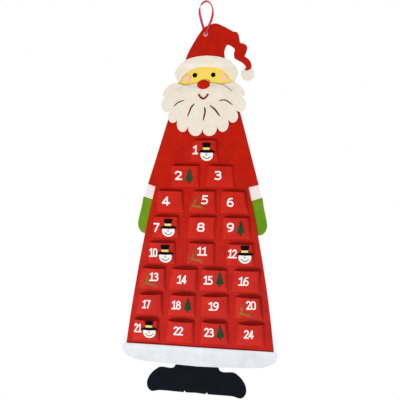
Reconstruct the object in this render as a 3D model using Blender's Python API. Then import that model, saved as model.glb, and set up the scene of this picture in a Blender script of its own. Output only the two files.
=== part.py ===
"""Felt advent calendar: a wall hanging shaped as Father Christmas, with 24 pockets.

Metres, +Z up, the front towards -Y. The origin is the point of the wall that the ribbon
hangs on. The felt hangs below it in flat layers, the rearmost of which touches y = 0.
Heights are given as drops below the hanging point, so a larger drop is lower.
"""

import math

import bmesh
import bpy
from mathutils import Matrix, Vector
from mathutils.geometry import delaunay_2d_cdt

# Felt, and the gap between pieces that touch
FELT = 0.003
PATCH_FELT = 0.002
TRIM_FELT = 0.0012
CLEAR = 0.0003
# How far a pressed-on number, line or face stands proud of the felt that it is fused to
RELIEF = 0.0006

# Hanging ribbon and eyelet
EYELET_DROP = 0.091
EYELET_BORE_RADIUS = 0.0035
EYELET_WALL = 0.0007
EYELET_FLANGE_RADIUS = 0.006
EYELET_FLANGE = 0.0007
RIBBON_WIDTH = 0.006
RIBBON_THICK = 0.0008
LOOP_WIDTH = 0.037

# The figure's centre line hangs beside the nail, because the hat's tail weighs on the right
CENTRE_LINE = -0.003

# Hat, with its tail and pompom
HAT_RISE = 0.029
HAT_WIDTH = 0.184
HAT_HEIGHT = 0.130
POMPOM_RADIUS = 0.018
BRIM_DROP = 0.088
BRIM_WIDTH = 0.171
BRIM_HEIGHT = 0.0715
BRIM_SHIFT = 0.006
SEAM_GAP = 0.0005

# Face
FACE_WIDTH = 0.154
FACE_HEIGHT = 0.114
EYE_RADIUS = 0.0062
EYE_SPACING = 0.050
EYE_RISE = 0.0199
CHEEK_RADIUS = 0.0093
CHEEK_SPACING = 0.100
CHEEK_RISE = 0.0108
CHEEK_SHIFT = 0.004
NOSE_WIDTH = 0.034
NOSE_HEIGHT = 0.0265
NOSE_DROP = 0.007
NOSE_SHIFT = -0.0003

# Beard, moustache and mouth
BEARD_WIDTH = 0.2265
BEARD_HEIGHT = 0.146
BEARD_LINE = 0.0026
MOUSTACHE_WIDTH = 0.154
MOUSTACHE_HEIGHT = 0.031
MOUSTACHE_DROP = 0.003
MOUTH_WIDTH = 0.027
MOUTH_SAG = 0.011
MOUTH_LINE = 0.003
MOUTH_GAP = 0.0067

# Robe, sleeves and mittens
NECK_TUCK = 0.040
SHOULDER_WIDTH = 0.165
SHOULDER_SHIFT = 0.0055
ROBE_LEAN = 0.0024
SLEEVE_HEIGHT = 0.236
SLEEVE_SPAN = 0.299
SLEEVE_OPENING = 0.024
ARM_ANGLE = math.radians(17)
SKIRT_WIDTH = 0.394
SKIRT_FLARE = 0.35
CUFF_LENGTH = 0.038
CUFF_WIDTH = 0.039
CUFF_INSET = 0.001
TUCK = 0.010
MITTEN_WIDTH = 0.050
MITTEN_LENGTH = 0.097

# Pockets
POCKET_WIDTH = 0.071
POCKET_BASE_WIDTH = 0.075
POCKET_HEIGHT = 0.057
POCKET_DEPTH = 0.013
POCKET_CORNER = 0.0035
BEARD_TO_POCKET = 0.013
UPPER_ROW_GAP = 0.011
ROW_GAP = 0.012
LAST_ROW_GAP = 0.0095
ROW_COUNTS = (1, 2, 3, 3, 3, 4, 4, 4)
UPPER_ROWS = 3
GAP_SHARES = {1: 0.0, 2: 0.172, 3: 0.333, 4: 0.235}
ROW_SHIFT_SHARES = (0.084, 0.043, 0.03, 0.002, 0.01, -0.06, -0.042, -0.06)

# Numbers
DIGIT_HEIGHT = 0.025
DIGIT_WIDTH = 0.018
PAIR_DIGIT_WIDTH = 0.0124
ONE_WIDTH = 0.0145
DIGIT_STROKE = 0.0043
PAIR_OVERLAP = 0.0006
NUMBER_DROP = 0.0265
NUMBER_SHIFT = -0.0065
ORNAMENT_SHIFT = -0.001

# Snowman heads
SNOWMEN = (1, 7, 10, 12, 21)
SNOWMAN_GAP = 0.0005
SNOWMAN_DROP = 0.005
CROWN_HEIGHT = 0.018
CROWN_WIDTH = 0.0245
CROWN_WAIST_SHARE = 0.82
HAT_BAND_HEIGHT = 0.007
SNOW_BRIM_WIDTH = 0.040
SNOW_BRIM_HEIGHT = 0.0075
SNOW_HEAD_RADIUS = 0.0173
SNOW_NOSE_RADIUS = 0.0032
SNOW_SMILE_WIDTH = 0.017
SNOW_SMILE_SAG = 0.0065
SNOW_SMILE_LINE = 0.0018

# Fir trees
TREES = (2, 9, 15, 18, 23)
TREE_GAP = 0.007
TREE_DROP = 0.007
TREE_WIDTH = 0.020
TREE_HEIGHT = 0.034
TREE_TIERS = 4
TRUNK_WIDTH = 0.004
TRUNK_HEIGHT = 0.005

# Reindeer
REINDEER = (5, 11, 13, 20)
DEER_LEFT = -0.032
DEER_DROP = 0.0125
DEER_WIDTH = 0.042
DEER_HEIGHT = 0.041
DEER_NECK_SHARE = 0.47
DEER_GAP = 0.002
DEER_NUMBER_RISE = 0.004

# Pockets whose number and ornament were pressed on higher than the rest
RAISED = {13: 0.002, 20: 0.004, 21: 0.0045}

# Hem and boots, both sewn on a little out of level
HEM_OVERHANG = 0.0095
HEM_HEIGHT = 0.050
HEM_TILT = math.radians(1.0)
HEM_OVERLAP = 0.016
BOOTS_WIDTH = 0.266
BOOTS_HEIGHT = 0.114
BOOTS_TUCK = 0.0385
BOOTS_SHIFT = -0.0033
BOOTS_TILT = math.radians(1.5)

# Outlines. Each run is a smooth stretch, and runs meet at corners. Across, a share is of the
# piece's width, or of half of it where only one side is given; down, of its height.
HAT_SHARES = (
    ((-0.297, 0.83), (-0.217, 0.538), (-0.034, 0.118), (0.078, 0.026), (0.17, 0.0),
     (0.293, 0.076), (0.413, 0.174), (0.473, 0.195), (0.505, 0.279), (0.522, 0.418)),
    ((0.522, 0.418), (0.582, 0.443), (0.625, 0.497), (0.625, 0.573), (0.592, 0.702)),
    ((0.592, 0.702), (0.652, 0.768), (0.685, 0.839), (0.696, 0.927), (0.668, 0.98), (0.614, 1.0)),
    ((0.614, 1.0), (0.6, 0.97), (0.614, 0.927), (0.571, 0.852), (0.511, 0.796), (0.446, 0.742)),
    ((0.446, 0.742), (0.435, 0.65), (0.446, 0.57), (0.418, 0.508), (0.337, 0.458),
     (0.297, 0.584), (0.302, 0.7), (0.319, 0.83)),
    ((0.319, 0.83), (-0.297, 0.83)),
)
POMPOM_SHARES = (0.639, 1.07)
BRIM_SHARES = (
    ((0.0, 0.0), (0.34, 0.04), (0.63, 0.145), (0.82, 0.3), (0.95, 0.477), (1.0, 0.69), (0.9, 1.0)),
    ((0.9, 1.0), (0.845, 1.0)),
    ((0.845, 1.0), (0.71, 0.738), (0.543, 0.573), (0.294, 0.46), (0.0, 0.43)),
)
BEARD_TOP_SHARES = ((0.0, 0.105), (0.18, 0.1), (0.43, 0.06), (0.684, 0.0))
# Each lobe of the beard: its tip, and the notch that ends it
BEARD_LOBE_SHARES = (
    ((0.945, 0.155), (0.895, 0.268)),
    ((1.0, 0.48), (0.785, 0.535)),
    ((0.8, 0.725), (0.605, 0.703)),
    ((0.53, 0.915), (0.342, 0.82)),
    ((0.195, 1.0), (0.0, 0.872)),
)
LOBE_FULLNESS = 0.88
BEARD_LINE_SHARES = (
    ((-0.7, 0.45), (-0.6, 0.38), (-0.455, 0.338)),
    ((-0.21, 0.405), (-0.29, 0.485), (-0.365, 0.64)),
    ((0.034, 0.472), (0.05, 0.556), (0.01, 0.715)),
    ((0.165, 0.44), (0.29, 0.52), (0.4, 0.64)),
    ((0.38, 0.352), (0.53, 0.345), (0.7, 0.43)),
)
MOUSTACHE_SHARES = (
    ((0.0, 0.16), (0.18, 0.0), (0.42, 0.045), (0.65, 0.2), (0.84, 0.48), (1.0, 0.81)),
    ((1.0, 0.81), (0.84, 0.97), (0.58, 1.0), (0.32, 0.95), (0.15, 0.82), (0.0, 0.66)),
)
MOUTH_SEAT_SHARE = 0.82
MITTEN_SHARES = (
    (0.08, 0.26), (0.18, 0.485), (0.26, 0.71), (0.21, 0.862), (0.03, 0.97),
    (-0.25, 1.0), (-0.51, 0.934), (-0.65, 0.73), (-0.73, 0.42),
)
HEM_SHARES = (
    ((0.0, 0.0), (0.955, 0.0)),
    ((0.955, 0.0), (0.985, 0.05), (1.0, 0.16), (0.995, 0.34), (0.965, 0.56), (0.9, 0.73),
     (0.8, 0.85), (0.56, 0.935), (0.0, 1.0)),
)
BOOT_SHARES = (
    ((0.0, 0.0), (0.43, 0.0)),
    ((0.43, 0.0), (0.43, 0.333)),
    ((0.43, 0.333), (0.46, 0.404), (0.534, 0.434), (0.725, 0.425), (0.824, 0.482),
     (0.916, 0.583), (0.977, 0.7), (1.0, 0.807), (0.985, 0.912), (0.924, 0.991),
     (0.855, 1.0), (0.74, 0.97), (0.573, 0.965), (0.248, 0.97)),
    ((0.248, 0.97), (0.223, 0.93)),
    ((0.223, 0.93), (0.198, 0.97)),
    ((0.198, 0.97), (0.0, 0.96)),
)
# Across and down as shares of the loop, then from front to back, then the ribbon's turn from
# flat on the hat to flat over the peg
LOOP_SHARES = (
    (0.2, 0.88, 0.0, 0.0), (0.52, 0.72, 0.0, 0.0), (0.76, 0.6, 0.05, 0.05),
    (0.95, 0.45, 0.12, 0.2), (0.98, 0.3, 0.22, 0.5), (0.84, 0.155, 0.35, 0.8),
    (0.45, 0.04, 0.42, 1.0), (0.0, 0.0, 0.45, 1.0), (-0.45, 0.035, 0.5, 1.0),
    (-0.82, 0.11, 0.55, 0.8), (-1.0, 0.22, 0.65, 0.5), (-0.97, 0.36, 0.75, 0.25),
    (-0.78, 0.52, 0.9, 0.1), (-0.57, 0.67, 1.0, 0.0), (-0.35, 0.81, 1.0, 0.0),
)
PEG_TURN = Vector((0.0, -0.85, 0.5))
# In the eyelet the ribbon narrows to this share of the bore and rides above its middle
BORE_WIDTH_SHARE = 0.57
BORE_RISE_SHARE = 0.45

# Strokes of the digits, in shares of the box that their centre lines fill, from its lower left
BOWL_SHARES = ((0.0, 0.72), (0.1, 0.91), (0.5, 1.0), (0.9, 0.91), (1.0, 0.72))
DIGIT_SHARES = {
    "0": (((0.0, 0.3), *BOWL_SHARES, (1.0, 0.28), (0.9, 0.09), (0.5, 0.0), (0.1, 0.09), (0.0, 0.28)),),
    "1": (((0.6, 0.0), (0.6, 1.0)), ((0.55, 0.96), (0.05, 0.8)), ((0.05, 0.0), (1.0, 0.0))),
    "2": (((0.02, 0.8), (0.2, 0.96), (0.55, 1.0), (0.9, 0.88), (0.92, 0.66), (0.6, 0.4), (0.06, 0.02)),
          ((0.06, 0.0), (1.0, 0.0))),
    "3": (((0.05, 0.92), (0.45, 1.0), (0.88, 0.9), (0.88, 0.65), (0.4, 0.54)),
          ((0.4, 0.54), (0.9, 0.46), (1.0, 0.24), (0.8, 0.04), (0.4, 0.0), (0.02, 0.06))),
    "4": (((0.7, 0.0), (0.7, 1.0)), ((0.64, 0.96), (0.02, 0.28)), ((0.0, 0.25), (1.0, 0.25))),
    "5": (((0.9, 1.0), (0.12, 1.0)), ((0.12, 1.0), (0.12, 0.56)),
          ((0.12, 0.56), (0.5, 0.6), (0.9, 0.5), (1.0, 0.28), (0.8, 0.05), (0.4, 0.0), (0.02, 0.05))),
    "6": (((0.02, 0.3), (0.08, 0.66), (0.35, 0.92), (0.85, 1.0)),
          ((0.0, 0.28), (0.15, 0.52), (0.5, 0.58), (0.88, 0.5), (1.0, 0.28), (0.86, 0.07),
           (0.5, 0.0), (0.14, 0.07), (0.0, 0.28))),
    "7": (((0.0, 1.0), (1.0, 1.0)), ((0.94, 0.94), (0.38, 0.0))),
    "8": (((0.08, 0.76), (0.2, 0.95), (0.5, 1.0), (0.8, 0.95), (0.92, 0.76), (0.8, 0.58),
           (0.5, 0.53), (0.2, 0.58), (0.08, 0.76)),
          ((0.0, 0.26), (0.15, 0.48), (0.5, 0.53), (0.85, 0.48), (1.0, 0.26), (0.85, 0.06),
           (0.5, 0.0), (0.15, 0.06), (0.0, 0.26))),
    "9": (((0.98, 0.7), (0.92, 0.34), (0.65, 0.08), (0.15, 0.0)),
          ((1.0, 0.72), (0.85, 0.48), (0.5, 0.42), (0.12, 0.5), (0.0, 0.72), (0.14, 0.93),
           (0.5, 1.0), (0.86, 0.93), (1.0, 0.72))),
}

# A leaping reindeer that faces left: its outline, across and down as shares of its size
DEER_SHARES = (
    (0.26, 0.4), (0.2, 0.3), (0.12, 0.16), (0.17, 0.14), (0.23, 0.22), (0.25, 0.04), (0.3, 0.04),
    (0.3, 0.26), (0.36, 0.2), (0.4, 0.06), (0.45, 0.08), (0.42, 0.26), (0.36, 0.34), (0.4, 0.44),
    (0.44, 0.62), (0.62, 0.68), (0.8, 0.66), (0.88, 0.62), (0.9, 0.68), (0.86, 0.74), (0.92, 0.82),
    (1.0, 0.96), (0.95, 0.98), (0.82, 0.86), (0.74, 0.84), (0.84, 0.98), (0.78, 1.0),
    (0.62, 0.84), (0.42, 0.82), (0.3, 0.8), (0.14, 0.96), (0.08, 0.93), (0.2, 0.76),
    (0.02, 0.84), (0.0, 0.78), (0.18, 0.66), (0.24, 0.54), (0.12, 0.5), (0.1, 0.44),
)

ROUND_SEGMENTS = 24
SMALL_SEGMENTS = 14
EYELET_SEGMENTS = 20
RUN_STEPS = 2
CORNER_STEPS = 3
LOBE_STEPS = 8
WELD = 1e-6

# Drops that follow from the sizes above
HAT_TOP = EYELET_DROP - HAT_RISE
BRIM_TOP = HAT_TOP + BRIM_DROP
BEARD_TOP = BRIM_TOP + BRIM_HEIGHT + SEAM_GAP
BEARD_BASE = BEARD_TOP + BEARD_HEIGHT
ROBE_TOP = BEARD_TOP + NECK_TUCK - CLEAR
SLEEVE_TIP = ROBE_TOP + SLEEVE_HEIGHT
WAIST = SLEEVE_TIP + SLEEVE_OPENING * math.sin(ARM_ANGLE)
WAIST_WIDTH = SLEEVE_SPAN - 2 * SLEEVE_OPENING * math.cos(ARM_ANGLE)
FIRST_MOUTH = BEARD_BASE + BEARD_TO_POCKET


def row_mouths():
    """Drops of the rows' mouths, from the top row down."""
    mouths = [FIRST_MOUTH]
    for row in range(1, len(ROW_COUNTS)):
        gap = UPPER_ROW_GAP if row < UPPER_ROWS else ROW_GAP
        mouths.append(mouths[-1] + POCKET_HEIGHT + gap)
    return mouths


ROW_MOUTHS = row_mouths()
HEM_WIDTH = SKIRT_WIDTH + 2 * HEM_OVERHANG
HEM_TOP = ROW_MOUTHS[-1] + POCKET_HEIGHT + LAST_ROW_GAP
HEM_BASE = HEM_TOP + HEM_HEIGHT
LAYER = FELT + CLEAR


def layer_back(layer):
    """Depth of a felt layer's rear face: layer 0 lies on the wall."""
    return -layer * LAYER


POCKET_SEAT = layer_back(2)
FRONT_SLOPE = math.atan2(POCKET_DEPTH - PATCH_FELT, POCKET_HEIGHT)


def clear_scene():
    for old in list(bpy.data.objects):
        bpy.data.objects.remove(old, do_unlink=True)


def material(name, colour, roughness, metallic=0.0):
    made = bpy.data.materials.new(name)
    made.use_nodes = True
    shader = made.node_tree.nodes["Principled BSDF"]
    shader.inputs["Base Color"].default_value = (*colour, 1.0)
    shader.inputs["Roughness"].default_value = roughness
    shader.inputs["Metallic"].default_value = metallic
    return made


def smooth_run(points, steps=RUN_STEPS):
    """Points of a smooth curve through the given ones, which are kept."""
    if len(points) < 3:
        return [Vector(p) for p in points]
    knots = [Vector(p) for p in points]
    knots = [2 * knots[0] - knots[1]] + knots + [2 * knots[-1] - knots[-2]]
    curve = []
    for a, b, c, d in zip(knots, knots[1:], knots[2:], knots[3:]):
        for step in range(steps):
            t = step / steps
            curve.append(0.5 * (2 * b + (c - a) * t + (2 * a - 5 * b + 4 * c - d) * t * t
                                + (3 * b - a - 3 * c + d) * t ** 3))
    curve.append(knots[-2])
    return curve


def joined_runs(runs, steps=RUN_STEPS):
    """One line of points from runs that meet end to end."""
    line = []
    for run in runs:
        line += smooth_run(run, steps)[:-1]
    return line + [Vector(runs[-1][-1])]


def lobe_run(start, tip, end, steps=LOBE_STEPS):
    """A full, rounded lobe from one notch out to its tip and back to the next."""
    start, tip, end = Vector(start), Vector(tip), Vector(end)
    middle, span = (start + end) / 2, (end - start) / 2
    turns = [math.pi * step / steps for step in range(1, steps)]
    inner = [middle - span * math.cos(a) + (tip - middle) * math.sin(a) ** LOBE_FULLNESS
             for a in turns]
    return [start, *inner, end]


def beard_outline():
    half = smooth_run(BEARD_TOP_SHARES)
    for tip, notch in BEARD_LOBE_SHARES:
        half += lobe_run(half[-1], tip, notch)[1:]
    right = [(p.x * BEARD_WIDTH / 2, -BEARD_TOP - p.y * BEARD_HEIGHT) for p in half]
    return right + [(-x, z) for x, z in reversed(right[1:-1])]


def closed_outline(runs, width, height, x=0.0, top=0.0):
    """A closed outline from runs of shares that end where they start."""
    line = joined_runs(runs)[:-1]
    return [(x + p.x * width, -top - p.y * height) for p in line]


def mirrored_outline(runs, width, height, x=0.0, top=0.0):
    """A closed outline from the runs of its right half, top middle to bottom middle."""
    half = [(p.x * width / 2, -top - p.y * height) for p in joined_runs(runs)]
    left = [(-px, pz) for px, pz in reversed(half[1:-1])]
    return [(x + px, pz) for px, pz in half + left]


def ellipse(x, drop, radius_x, radius_z=None, segments=ROUND_SEGMENTS):
    radius_z = radius_x if radius_z is None else radius_z
    turns = [2 * math.pi * k / segments for k in range(segments)]
    return [(x + radius_x * math.cos(a), -drop + radius_z * math.sin(a)) for a in turns]


def stroke(points, width):
    """Quads along a line of the given width, mitred, with square ends."""
    line = [Vector(p) for p in points]
    looped = (line[0] - line[-1]).length < WELD
    if not looped:
        line[0] = line[0] + (line[0] - line[1]).normalized() * width / 2
        line[-1] = line[-1] + (line[-1] - line[-2]).normalized() * width / 2
    ways = [(b - a).normalized() for a, b in zip(line, line[1:])]
    before = [ways[-1] if looped else ways[0]] + ways
    after = ways + [ways[0] if looped else ways[-1]]
    sides = []
    for point, way_in, way_out in zip(line, before, after):
        across = Vector((-way_in.y - way_out.y, way_in.x + way_out.x)).normalized()
        reach = width / 2 / max(across.dot(Vector((-way_in.y, way_in.x))), 0.5)
        sides.append((point - across * reach, point + across * reach))
    return [(a[0], b[0], b[1], a[1]) for a, b in zip(sides, sides[1:])]


def counter_clockwise(polygon):
    turned = sum(a[0] * b[1] - b[0] * a[1] for a, b in zip(polygon, polygon[1:] + polygon[:1]))
    return polygon if turned > 0 else polygon[::-1]


def add_sheet(mesh, polygons, holes=(), matrix=Matrix()):
    """Adds the union of flat polygons, less the holes, as a sheet that faces the front."""
    points, faces = [], []
    for polygon in list(polygons) + list(holes):
        start = len(points)
        points += [Vector(p) for p in counter_clockwise(list(polygon))]
        faces.append(list(range(start, len(points))))
    first_hole = len(faces) - len(holes)
    corners, _, triangles, _, _, sources = delaunay_2d_cdt(points, [], faces, 1, WELD)
    kept = [triangle for triangle, source in zip(triangles, sources)
            if source and all(index < first_hole for index in source)]
    made = {}
    for index in {index for triangle in kept for index in triangle}:
        made[index] = mesh.verts.new(matrix @ Vector((corners[index].x, 0.0, corners[index].y)))
    for triangle in kept:
        mesh.faces.new([made[index] for index in triangle])


def finish(name, mesh, finish_material, parent=None, location=(0.0, 0.0, 0.0)):
    data = bpy.data.meshes.new(name)
    mesh.to_mesh(data)
    mesh.free()
    data.materials.append(finish_material)
    return place(name, data, parent, location)


def place(name, data, parent=None, location=(0.0, 0.0, 0.0)):
    made = bpy.data.objects.new(name, data)
    bpy.context.scene.collection.objects.link(made)
    made.parent = parent
    made.location = location
    return made


def thicken(piece, thickness):
    """Gives a sheet its thickness, towards the front."""
    solidify = piece.modifiers.new("thickness", "SOLIDIFY")
    solidify.thickness = thickness
    solidify.offset = 1.0
    return piece


def felt_piece(name, polygons, layer, cloth, swing, thickness=FELT, holes=(), depth=None):
    """A flat felt piece whose rear face lies at its layer's depth."""
    mesh = bmesh.new()
    add_sheet(mesh, polygons, holes)
    back = layer_back(layer) if depth is None else depth
    piece = finish(name, mesh, cloth, swing, (CENTRE_LINE, back, EYELET_DROP))
    return thicken(piece, thickness)


def raise_relief(piece, polygons, front):
    """Fuses flat shapes onto a piece; front places them on its front face."""
    mesh = bmesh.new()
    add_sheet(mesh, polygons, matrix=front @ Matrix.Translation((0.0, TRIM_FELT / 2, 0.0)))
    guide = finish(piece.name + "_relief", mesh, piece.data.materials[0], piece)
    thicken(guide, TRIM_FELT / 2 + RELIEF)
    guide.hide_render = True
    guide.display_type = "WIRE"
    union = piece.modifiers.new("relief", "BOOLEAN")
    union.operation = "UNION"
    union.object = guide
    return piece


def tilted(piece, angle, drop):
    """Turns a piece, seen from the front, clockwise about its middle at the given drop."""
    pivot = Matrix.Translation((0.0, 0.0, -drop))
    piece.data.transform(pivot @ Matrix.Rotation(angle, 4, "Y") @ pivot.inverted())
    return piece


def ribbon_stations():
    """Centre, width and turn of the ribbon along its closed route, eyelet to eyelet."""
    flange_front = layer_back(1) - FELT - CLEAR - EYELET_FLANGE
    flange_back = layer_back(1) + CLEAR + EYELET_FLANGE
    half_thick = RIBBON_THICK / 2
    front = flange_front - CLEAR - half_thick
    back = flange_back + CLEAR + half_thick
    rise = EYELET_BORE_RADIUS * BORE_RISE_SHARE
    neck = -EYELET_DROP + rise
    top = half_thick
    height = top - neck
    lead = EYELET_BORE_RADIUS
    narrow = 2 * EYELET_BORE_RADIUS * BORE_WIDTH_SHARE
    bend = lead / 4
    knots = [((0.0, (front + back) / 2, neck), narrow, 0.0),
             ((0.0, front + 2 * bend, neck), narrow, 0.0),
             ((0.0, front, neck + bend), narrow, 0.0),
             ((0.0, front, neck + lead), (narrow + RIBBON_WIDTH) / 2, 0.0)]
    for across, down, depth, turn in LOOP_SHARES:
        spot = (across * LOOP_WIDTH / 2, front + (back - front) * depth, top - down * height)
        knots.append((spot, RIBBON_WIDTH, turn))
    knots += [((0.0, back, neck + lead), (narrow + RIBBON_WIDTH) / 2, 0.0),
              ((0.0, back, neck + bend), narrow, 0.0),
              ((0.0, back - 2 * bend, neck), narrow, 0.0)]
    return knots


def build_ribbon(satin):
    """The hanging loop: a flat ribbon swept once round its closed route."""
    knots = ribbon_stations()
    count = len(knots)
    centres, widths, turns = [], [], []
    for index in range(count):
        near = [knots[(index + shift) % count] for shift in (-1, 0, 1, 2)]
        a, b, c, d = (Vector(knot[0]) for knot in near)
        for step in range(RUN_STEPS):
            t = step / RUN_STEPS
            centres.append(0.5 * (2 * b + (c - a) * t + (2 * a - 5 * b + 4 * c - d) * t * t
                                  + (3 * b - a - 3 * c + d) * t ** 3))
            widths.append(near[1][1] * (1 - t) + near[2][1] * t)
            turns.append(near[1][2] * (1 - t) + near[2][2] * t)
    mesh = bmesh.new()
    rings = []
    for index, centre in enumerate(centres):
        way = (centres[(index + 1) % len(centres)] - centres[index - 1]).normalized()
        lying = Vector((1.0, 0.0, 0.0)) * (1 - turns[index]) + PEG_TURN * turns[index]
        across = (lying - way * lying.dot(way)).normalized() * widths[index] / 2
        through = way.cross(across).normalized() * RIBBON_THICK / 2
        corners = (-across - through, across - through, across + through, through - across)
        rings.append([mesh.verts.new(centre + corner) for corner in corners])
    for ring, following in zip(rings, rings[1:] + rings[:1]):
        for side in range(len(ring)):
            other = (side + 1) % len(ring)
            mesh.faces.new((ring[side], following[side], following[other], ring[other]))
    bmesh.ops.recalc_face_normals(mesh, faces=mesh.faces)
    return finish("hang_loop", mesh, satin)


def build_eyelet(metal, swing):
    """A flanged ring turned about the bore's axis, which runs from front to back."""
    front = layer_back(1) - FELT - CLEAR
    back = layer_back(1) + CLEAR
    bore = EYELET_BORE_RADIUS
    barrel = bore + EYELET_WALL
    flange = EYELET_FLANGE_RADIUS
    profile = ((bore, front - EYELET_FLANGE), (flange, front - EYELET_FLANGE), (flange, front),
               (barrel, front), (barrel, back), (flange, back), (flange, back + EYELET_FLANGE),
               (bore, back + EYELET_FLANGE))
    mesh = bmesh.new()
    rings = []
    for segment in range(EYELET_SEGMENTS):
        turn = Matrix.Rotation(2 * math.pi * segment / EYELET_SEGMENTS, 4, "Y")
        rings.append([mesh.verts.new(turn @ Vector((r, y, 0.0))) for r, y in profile])
    for ring, following in zip(rings, rings[1:] + rings[:1]):
        for side in range(len(profile)):
            other = (side + 1) % len(profile)
            mesh.faces.new((ring[side], ring[other], following[other], following[side]))
    bmesh.ops.recalc_face_normals(mesh, faces=mesh.faces)
    return finish("eyelet", mesh, metal, swing)


def build_hat(red, white, swing):
    hole_radius = EYELET_BORE_RADIUS + EYELET_WALL + CLEAR
    hole = ellipse(-CENTRE_LINE, EYELET_DROP, hole_radius, segments=EYELET_SEGMENTS)
    outline = closed_outline(HAT_SHARES, HAT_WIDTH, HAT_HEIGHT, top=HAT_TOP)
    felt_piece("hat", [outline], 1, red, swing, holes=[hole])
    across, down = POMPOM_SHARES
    pompom = ellipse(across * HAT_WIDTH, HAT_TOP + down * HAT_HEIGHT, POMPOM_RADIUS)
    felt_piece("hat_pompom", [pompom], 0, white, swing)
    brim = mirrored_outline(BRIM_SHARES, BRIM_WIDTH, BRIM_HEIGHT, BRIM_SHIFT, BRIM_TOP)
    felt_piece("hat_brim", [brim], 2, white, swing)


def build_face(cloths, swing):
    seat = layer_back(0) - FELT - CLEAR
    face = ellipse(BRIM_SHIFT, BEARD_TOP, FACE_WIDTH / 2, FACE_HEIGHT / 2, 2 * ROUND_SEGMENTS)
    felt_piece("face", [face], 0, cloths["skin"], swing)
    for side, hand in ((-1, "left"), (1, "right")):
        eye = ellipse(side * EYE_SPACING / 2, BEARD_TOP - EYE_RISE, EYE_RADIUS, None, SMALL_SEGMENTS)
        felt_piece(f"eye_{hand}", [eye], 0, cloths["black"], swing, TRIM_FELT, depth=seat)
        middle = CHEEK_SHIFT + side * CHEEK_SPACING / 2
        cheek = ellipse(middle, BEARD_TOP - CHEEK_RISE, CHEEK_RADIUS)
        felt_piece(f"cheek_{hand}", [cheek], 0, cloths["pink"], swing, TRIM_FELT, depth=seat)
    nose = ellipse(NOSE_SHIFT, BEARD_TOP + NOSE_DROP, NOSE_WIDTH / 2, NOSE_HEIGHT / 2)
    felt_piece("nose", [nose], 4, cloths["red"], swing)


def arc_line(x, drop, width, sag, steps=SMALL_SEGMENTS // 2):
    """A line that hangs between two ends at the drop, by the given sag."""
    spots = [2 * k / steps - 1 for k in range(steps + 1)]
    return [(x + s * width / 2, -drop - sag * (1 - s * s)) for s in spots]


def build_beard(cloths, swing):
    piece = felt_piece("beard", [beard_outline()], 2, cloths["white"], swing)
    lines = []
    for line in BEARD_LINE_SHARES:
        points = [(p.x * BEARD_WIDTH / 2, -BEARD_TOP - p.y * BEARD_HEIGHT)
                  for p in smooth_run(line, 3)]
        lines += stroke(points, BEARD_LINE)
    raise_relief(piece, lines, Matrix.Translation((0.0, -FELT, 0.0)))
    top = BEARD_TOP + MOUSTACHE_DROP
    moustache = mirrored_outline(MOUSTACHE_SHARES, MOUSTACHE_WIDTH, MOUSTACHE_HEIGHT, top=top)
    felt_piece("moustache", [moustache], 3, cloths["white"], swing)
    drop = top + MOUSTACHE_HEIGHT * MOUTH_SEAT_SHARE + MOUTH_GAP
    smile = stroke(arc_line(0.0, drop, MOUTH_WIDTH, MOUTH_SAG), MOUTH_LINE)
    felt_piece("mouth", smile, 3, cloths["dark_red"], swing, TRIM_FELT)


def skirt_half_width(drop):
    """Half the robe's width at a drop, sleeves included above the waist."""
    if drop < SLEEVE_TIP:
        down = (drop - ROBE_TOP) / SLEEVE_HEIGHT
        return (SHOULDER_WIDTH + (SLEEVE_SPAN - SHOULDER_WIDTH) * down) / 2
    down = (drop - WAIST) / (HEM_TOP - WAIST)
    flared = down * (1 + SKIRT_FLARE * (1 - down))
    return (WAIST_WIDTH + (SKIRT_WIDTH - WAIST_WIDTH) * flared) / 2


def build_robe(red, swing):
    """The robe leans a little, more the higher it is above the hem."""
    steps = 2 * CORNER_STEPS
    base = HEM_TOP + HEM_OVERLAP
    drops = [WAIST + (HEM_TOP - WAIST) * step / steps for step in range(steps + 1)]
    right = [(SLEEVE_SPAN / 2, -SLEEVE_TIP)]
    right += [(skirt_half_width(drop), -drop) for drop in drops]
    right.append((SKIRT_WIDTH / 2, -base))
    lean = ROBE_LEAN / (HEM_TOP - SLEEVE_TIP)
    outline = [(x + (HEM_TOP + z) * lean, z)
               for x, z in right + [(-x, z) for x, z in reversed(right)]]
    outline += [(SHOULDER_SHIFT + side * SHOULDER_WIDTH / 2, -ROBE_TOP) for side in (-1, 1)]
    felt_piece("robe", [outline], 1, red, swing)


def arm_point(side, along, inward):
    """A point in the arm's own axes, from the outer corner of the sleeve's end."""
    down = Vector((math.sin(ARM_ANGLE), -math.cos(ARM_ANGLE)))
    across = Vector((-math.cos(ARM_ANGLE), -math.sin(ARM_ANGLE)))
    spot = Vector((SLEEVE_SPAN / 2, -SLEEVE_TIP)) + down * along + across * inward
    return (side * spot.x + ROBE_LEAN / 2, spot.y)


def build_arms(white, green, swing):
    for side, hand in ((-1, "left"), (1, "right")):
        inner = CUFF_INSET + CUFF_WIDTH
        cuff = [arm_point(side, -TUCK, CUFF_INSET + TUCK / 4), arm_point(side, 0.0, CUFF_INSET),
                arm_point(side, CUFF_LENGTH, CUFF_INSET), arm_point(side, CUFF_LENGTH, inner),
                arm_point(side, -TUCK, inner)]
        felt_piece(f"cuff_{hand}", [cuff], 0, white, swing)
        start = arm_point(side, CUFF_LENGTH + SEAM_GAP, -CUFF_INSET)
        end = arm_point(side, CUFF_LENGTH + SEAM_GAP, inner)
        rounded = [(start[0] + side * x * MITTEN_WIDTH, start[1] - z * MITTEN_LENGTH)
                   for x, z in MITTEN_SHARES]
        outline = [tuple(p) for p in smooth_run([start, *rounded, end])]
        felt_piece(f"mitten_{hand}", [outline], 0, green, swing)


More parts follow.
